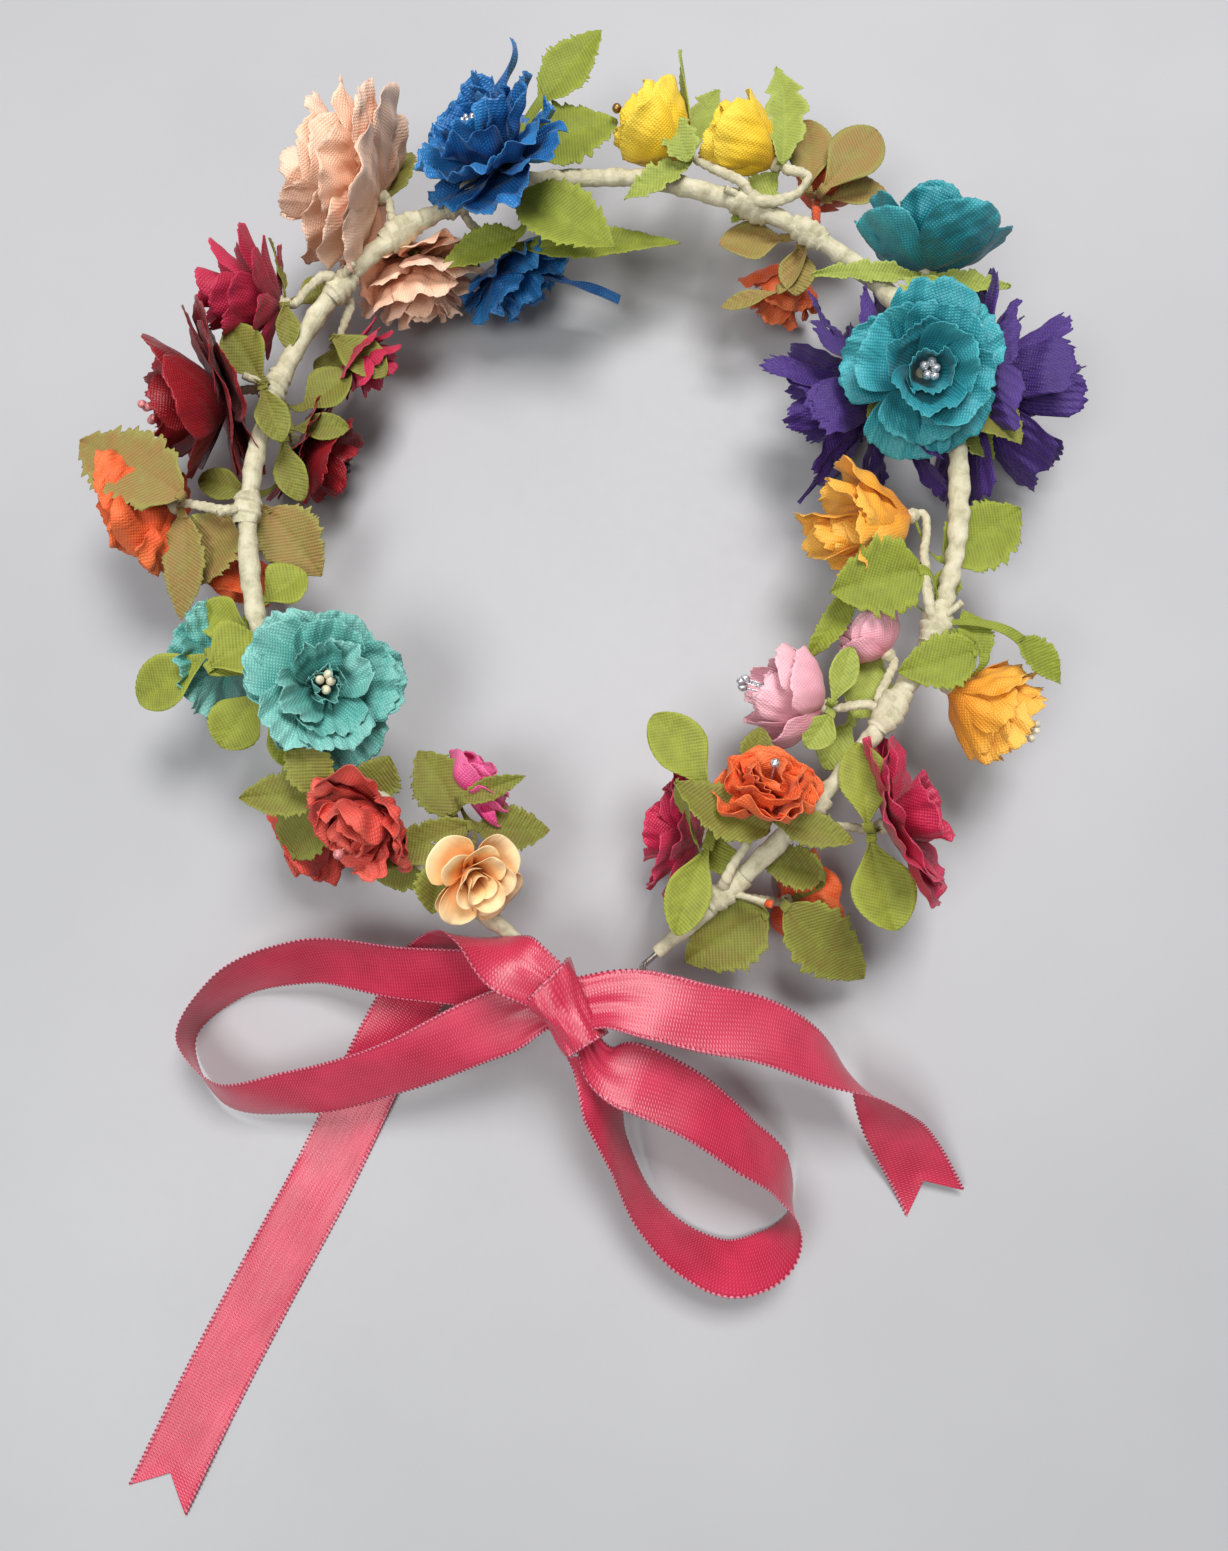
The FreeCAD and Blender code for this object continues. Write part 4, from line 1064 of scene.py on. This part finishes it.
def picks(finishes):
    """Every pick: its flowers, its leaves and its stems."""
    for number, (pick, (outer, inner, outline, leaf_tone)) in enumerate(PICKS.items()):
        heads = heads_of(pick)
        petal_tones = TWO_TONES.get(pick, (pick, pick))
        used = []
        for petal_tone, (_, *beads) in zip(petal_tones, (outer, inner)):
            used += [name for name in (petal_tone, *beads[:1]) if name not in used]
        patch = Patchwork()
        for order, (head, petal_tone, (style, *beads)) in enumerate(zip(heads, petal_tones, (outer, inner))):
            seed = 10 * number + order
            flower = (pick, order)
            petal_slot = used.index(petal_tone)
            head["hub"] = head["hub"] + SHIFTS.get(flower, (0, 0, 0))
            head["radius"] *= FULLNESS.get(flower, 1.0)
            head["depth"] *= FULLNESS.get(flower, 1.0)
            flower_head(patch, head, style, petal_slot, seed, CEILINGS.get(pick))
            if beads:
                stamen_cluster(patch, head, beads[1:], used.index(beads[0]), seed)
            if flower in LONG_TIPS:
                long_tip(patch, head, *LONG_TIPS[flower], petal_slot, seed)
        flowers = patch.piece(f"{pick}_petals", [finishes[name] for name in used], thickness=0.13)
        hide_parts(f"{pick}_flowers")
        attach(flowers, f"{pick}_pick")

        root = millimetres(ring_joint(f"{pick}_roll")["pos_m"])
        anchors = [root] + [head["hub"] - head["axis"] * 1.2 for head in heads]
        foliage = Patchwork()
        for index, blade in enumerate(blades_of(pick, heads)):
            leaf(foliage, blade, outline, anchors, 1000 + 20 * number + index)
        leaves = foliage.piece(f"{pick}_foliage", [finishes[f"{leaf_tone}_leaf"]], thickness=0.15)
        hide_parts(f"{pick}_leaves")
        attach(leaves, f"{pick}_pick")
        stems(pick, heads, finishes, 200 + 10 * number)


# ---- the ribbon. Stations are the ribbon's middle from the knot's middle, in millimetres, and
# its lean in degrees: 0 lies flat and 90 stands on edge.

LEFT_RUN = [
    (-5, 0.5, 3.6, 4), (-9, 3.4, 5.6, 0), (-16, 8, 7, -15), (-24, 14, 3, -65), (-31, 14.5, -8, -115),
    (-39, 8, -17, -150), (-45, -1, -24.5, -175), (-53, -15, -29, -178), (-60, -30, -31.5, -180),
    (-68, -47, -32.4, -180), (-80, -70, -32.4, -180), (-92, -94, -32.4, -180), (-104, -120, -32.4, -180),
]
LEFT_LOOP = [
    (-4, 0, -2.5, 6), (-9, 2, -5, 10), (-24, 4.4, -7, 24), (-45, 6.2, -12, 38), (-71, 9.4, -19, 50),
    (-91, 3, -23.4, 72), (-101, -10, -24.5, 90), (-92, -23, -22.5, 112), (-70, -23, -17, 132),
    (-45, -16, -10, 145), (-24, -7, -3, 158), (-10, -2, 0, 168), (-4, -1, 0.5, 174),
]
RIGHT_TAIL = [
    (-1, -1, 4, 12), (6, 0, 4.6, 12), (17, -1.5, 4.6, 12), (27, -4, 3, 14), (41, -7, -1, 22),
    (56, -14, -8, 45), (68, -22, -15, 95), (76, -32, -22, 140), (83, -42, -28, 160), (88, -51, -31, 170),
]
RIGHT_LOOP = [
    (0, -8, 1, 8), (4, -15, -3, 10), (14, -19, -4, 14), (26, -25, -7, 22), (38, -34, -13, 40),
    (48, -43, -20.3, 65), (51, -53, -23.8, 95), (46, -61, -24.2, 125), (36, -65, -25.2, 135),
    (25, -61, -25, 125), (16, -52, -23.4, 112), (9, -37, -18.5, 112), (4, -22, -10, 140), (-1, -12, -3, 160),
]
RIBBON_HALF_WIDTH = 8.0
RIBBON_THICKNESS = 0.18
PICOT_PITCH = 1.1
PICOT_DEPTH = 0.25
# The rim of a strip or wrap beyond this share of its half width is its picot loops.
PICOT_SHARE = 0.99


def ribbon_folds(shares, offsets, along, gather, seed):
    """How far a strip's cloth stands off its middle plane: slow waves, a cupped rim and pleats."""
    chance = np.random.default_rng(seed)
    lift = np.zeros((len(along), len(shares)))
    for _ in range(4):
        pace = chance.uniform(0.03, 0.12)
        lift += 0.22 * np.sin(pace * along + chance.uniform(-0.12, 0.12) * offsets + chance.uniform(0, 6.3))
    lift += 0.5 * np.sin(along / 9.5 + seed) * np.sin(1.6 * shares + seed + along / 23)
    pleats = (1 - gather) * (1.5 * np.sin(7.5 * shares + 1) + 0.8 * np.sin(13 * shares))
    return lift + (0.35 * np.abs(shares) ** 4 + pleats)


def ribbon_strip(name, stations, finishes, notch, pinches, seed):
    """A strip of picot-edged satin along its stations, with a swallow-tail end if notched and
    its ends gathered to a share of its width where they enter the knot."""
    row_spacing = 0.225
    gather_start = 2
    gather_end = 17
    notch_length = 14
    rough_length = distance_along(np.array(stations)[:, :3])[-1]
    line = spline(stations, int(rough_length / row_spacing))
    middles = line[:, :3] + box_middle("ribbon_knot")
    leans = np.radians(line[:, 3:])
    tangents = headings(middles)
    sides = np.cross(tangents, (0, 0, 1))
    sides /= np.linalg.norm(sides, axis=1)[:, None]
    across = sides * np.cos(leans) + np.cross(sides, tangents) * np.sin(leans)
    through = np.cross(across, tangents)
    along = distance_along(middles)[:, None]
    length = along[-1, 0]

    shares = np.concatenate(((-1, -0.975), np.linspace(-0.94, 0.94, 17), (0.975, 1)))
    picot = PICOT_DEPTH * np.sin(FULL_TURN * along / PICOT_PITCH)
    offsets = shares * RIBBON_HALF_WIDTH + (np.abs(shares) > PICOT_SHARE) * np.sign(shares) * picot
    gather = 1 - (1 - pinches[0]) * (1 - smooth_step(gather_start, gather_end, along))
    gather = gather - (1 - pinches[1]) * (1 - smooth_step(gather_start, gather_end, length - along))
    lift = ribbon_folds(shares, offsets, along, gather, seed)
    points = moved(middles[:, None], (offsets * gather, across[:, None]), (lift, through[:, None]))
    pull = notch * (1 - np.abs(shares)) * smooth_step(length - notch_length, length, along)
    points = moved(points, (-pull, tangents[:, None]))
    reach = along - pull
    patch = Patchwork()
    patch.grid(above_floor(points), pair(offsets, reach), pair(reach / length, np.abs(shares)))
    piece = patch.piece(name, [finishes["satin"]], thickness=RIBBON_THICKNESS)
    return piece, length * MM


def knot(finishes):
    """The wrap of the knot: the ribbon's full width drawn round the bundle, in gathered folds."""
    half_length = 8.8
    boxiness = 0.72
    centre = box_middle("ribbon_knot") + (-3.8, -3, 0.5)
    heading = math.radians(32)
    lengthwise = np.array((math.sin(heading), -math.cos(heading), 0))
    sideways = np.array((math.cos(heading), math.sin(heading), 0))
    upward = np.array((0, 0, 1.0))

    share = down_rows(-1, 1, 49)
    turn = np.linspace(math.radians(-75), math.radians(255), 190)
    taper = smooth_step(-1.1, 1.0, share)
    side_radius = 7.0 - 1.8 * taper
    rise_radius = 8.2 - 2.2 * taper
    folds = 0.42 * np.sin(4 * turn + 2.6 * share) + 0.12 * np.sin(11 * turn - 3.2 * share + 1)
    waist = 0.5 * np.exp(-((share + 0.1) / 0.45) ** 2)
    folds = folds - waist
    sideward = np.sign(np.cos(turn)) * np.abs(np.cos(turn)) ** boxiness
    rising = np.sign(np.sin(turn)) * np.abs(np.sin(turn)) ** boxiness
    picot = PICOT_DEPTH * np.sin(FULL_TURN * turn * 6 / PICOT_PITCH)
    picot = picot * np.sign(share) * (np.abs(share) > PICOT_SHARE)
    skew = -1.8 * (1 - taper) * np.cos(turn)
    reach = half_length * share + skew + picot
    points = moved(centre, (reach, lengthwise), ((side_radius + folds) * sideward, sideways),
                   ((rise_radius + folds) * rising, upward))
    patch = Patchwork()
    patch.grid(points, pair(RIBBON_HALF_WIDTH * share, 6 * turn), pair(0 * turn, np.abs(share)))
    wrap = patch.piece("bow_knot_wrap", [finishes["satin"]], thickness=RIBBON_THICKNESS)
    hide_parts("ribbon_knot")
    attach(wrap, "root")

    bundle = Patchwork()
    marks = np.linspace(-1, 1, 40)
    path = centre + np.outer(marks * 7.5, lengthwise) + np.array((0, 0, -0.3))
    girth = (4.6 - 0.8 * marks) * np.sqrt(np.clip(1 - marks ** 6, 0.02, 1))
    tube(bundle, path, girth, sides=36, ridge=0.4, pitch=6.0, lobes=0.08, seed=5)
    core = bundle.piece("bow_knot_bundle", [finishes["satin"]])
    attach(core, "root")


def threaded_band(finishes):
    """The ribbon gathered into a narrow roll where it runs through both wire eyes."""
    low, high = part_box("ribbon_band")
    low, high = millimetres(low), millimetres(high)
    left = np.array((low[0], low[1] + 2, (low[2] + high[2]) / 2))
    right = np.array((high[0] - 5, low[1] + 1.5, (low[2] + high[2]) / 2 - 1))
    middle = (left + right) / 2 + np.array((0, 0, -0.8))
    path = spline(np.array([left, middle, right]), 90)
    patch = Patchwork()
    tube(patch, path, np.full(len(path), 1.5), sides=30, ridge=0.35, pitch=14.0, lobes=0.25, seed=9)
    band = patch.piece("threaded_ribbon", [finishes["satin"]])
    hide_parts("ribbon_band")
    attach(band, "root")


def bow(finishes):
    """Both loops and tails, the knot, and the ribbon threaded through the ring's eyes."""
    notch = 7.0
    tail, length = ribbon_strip("bow_left_tail_strip", LEFT_RUN, finishes, notch, (0.75, 1.0), 1)
    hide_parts("ribbon_left_turn", "ribbon_left_tail")
    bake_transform(tail)
    strips = (
        ("left_loop", LEFT_LOOP, 0.0, (0.6, 0.6), "folded", 2),
        ("right_tail", RIGHT_TAIL, notch, (0.8, 1.0), "hung", 3),
        ("right_loop", RIGHT_LOOP, 0.0, (0.4, 0.4), "folded", 4),
    )
    for name, stations, depth, pinches, held, seed in strips:
        strip, length = ribbon_strip(f"bow_{name}_strip", stations, finishes, depth, pinches, seed)
        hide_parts(f"ribbon_{name}")
        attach(strip, f"bow_{name}")
    knot(finishes)
    threaded_band(finishes)


# ---- the table, the light and the camera

def table_top():
    """A pale, faintly mottled table top."""
    shader = Shader("table")
    position = shader.position()
    clouds = shader.noise(position, 5, 4, 0.55)
    colour = shader.ramp(clouds, (0.3, tone(174, 174, 178)), (0.7, tone(184, 184, 187)))
    grain = shader.noise(position, 260, 3, 0.6)
    shader.finish(colour, shader.bump(grain, 0.05, 0.3), shader.times_plus(grain, 0.1, 0.5))
    bpy.ops.mesh.primitive_plane_add(size=4)
    plane = bpy.context.object
    plane.name = "table"
    plane.data.materials.append(shader.material)


def soft_light(name, place, size, power, colour):
    """A square area light aimed at the middle of the crown."""
    crown_middle = Vector((0, -0.03, 0))
    light = bpy.data.lights.new(name, "AREA")
    light.size = size
    light.energy = power
    light.color = colour
    lamp = bpy.data.objects.new(name, light)
    lamp.location = place
    lamp.rotation_euler = (crown_middle - Vector(place)).to_track_quat("-Z", "Y").to_euler()
    bpy.context.scene.collection.objects.link(lamp)


def light_and_camera():
    soft_light("window", (0.16, 0.46, 1.15), size=0.45, power=13.0, colour=(1.0, 0.985, 0.97))
    soft_light("fill", (-0.42, -0.4, 1.2), size=0.5, power=7.8, colour=(0.98, 1.0, 0.985))
    world = bpy.data.worlds.new("room")
    world.use_nodes = True
    background = world.node_tree.nodes["Background"]
    background.inputs["Color"].default_value = (0.95, 0.97, 0.98, 1)
    background.inputs["Strength"].default_value = 0.27
    bpy.context.scene.world = world
    bpy.context.scene.view_settings.view_transform = "Standard"

    target = Vector((0.002, -0.050, 0))
    distance = 0.330
    elevation = math.radians(80)
    camera_data = bpy.data.cameras.new("camera")
    camera_data.lens = 28.5
    camera = bpy.data.objects.new("camera", camera_data)
    camera.location = target + Vector((0, -distance * math.cos(elevation), distance * math.sin(elevation)))
    camera.rotation_euler = (math.radians(90) - elevation, 0, 0)
    bpy.context.scene.collection.objects.link(camera)
    bpy.context.scene.camera = camera


def main():
    light_and_camera()
    table_top()
    finishes = all_materials()
    for side in ("left", "right"):
        wire = frame["nodes"][f"ring_wire_{side}"]
        wire.data.materials.clear()
        wire.data.materials.append(finishes["steel"])
    ring_tape(finishes)
    picks(finishes)
    bow(finishes)


main()
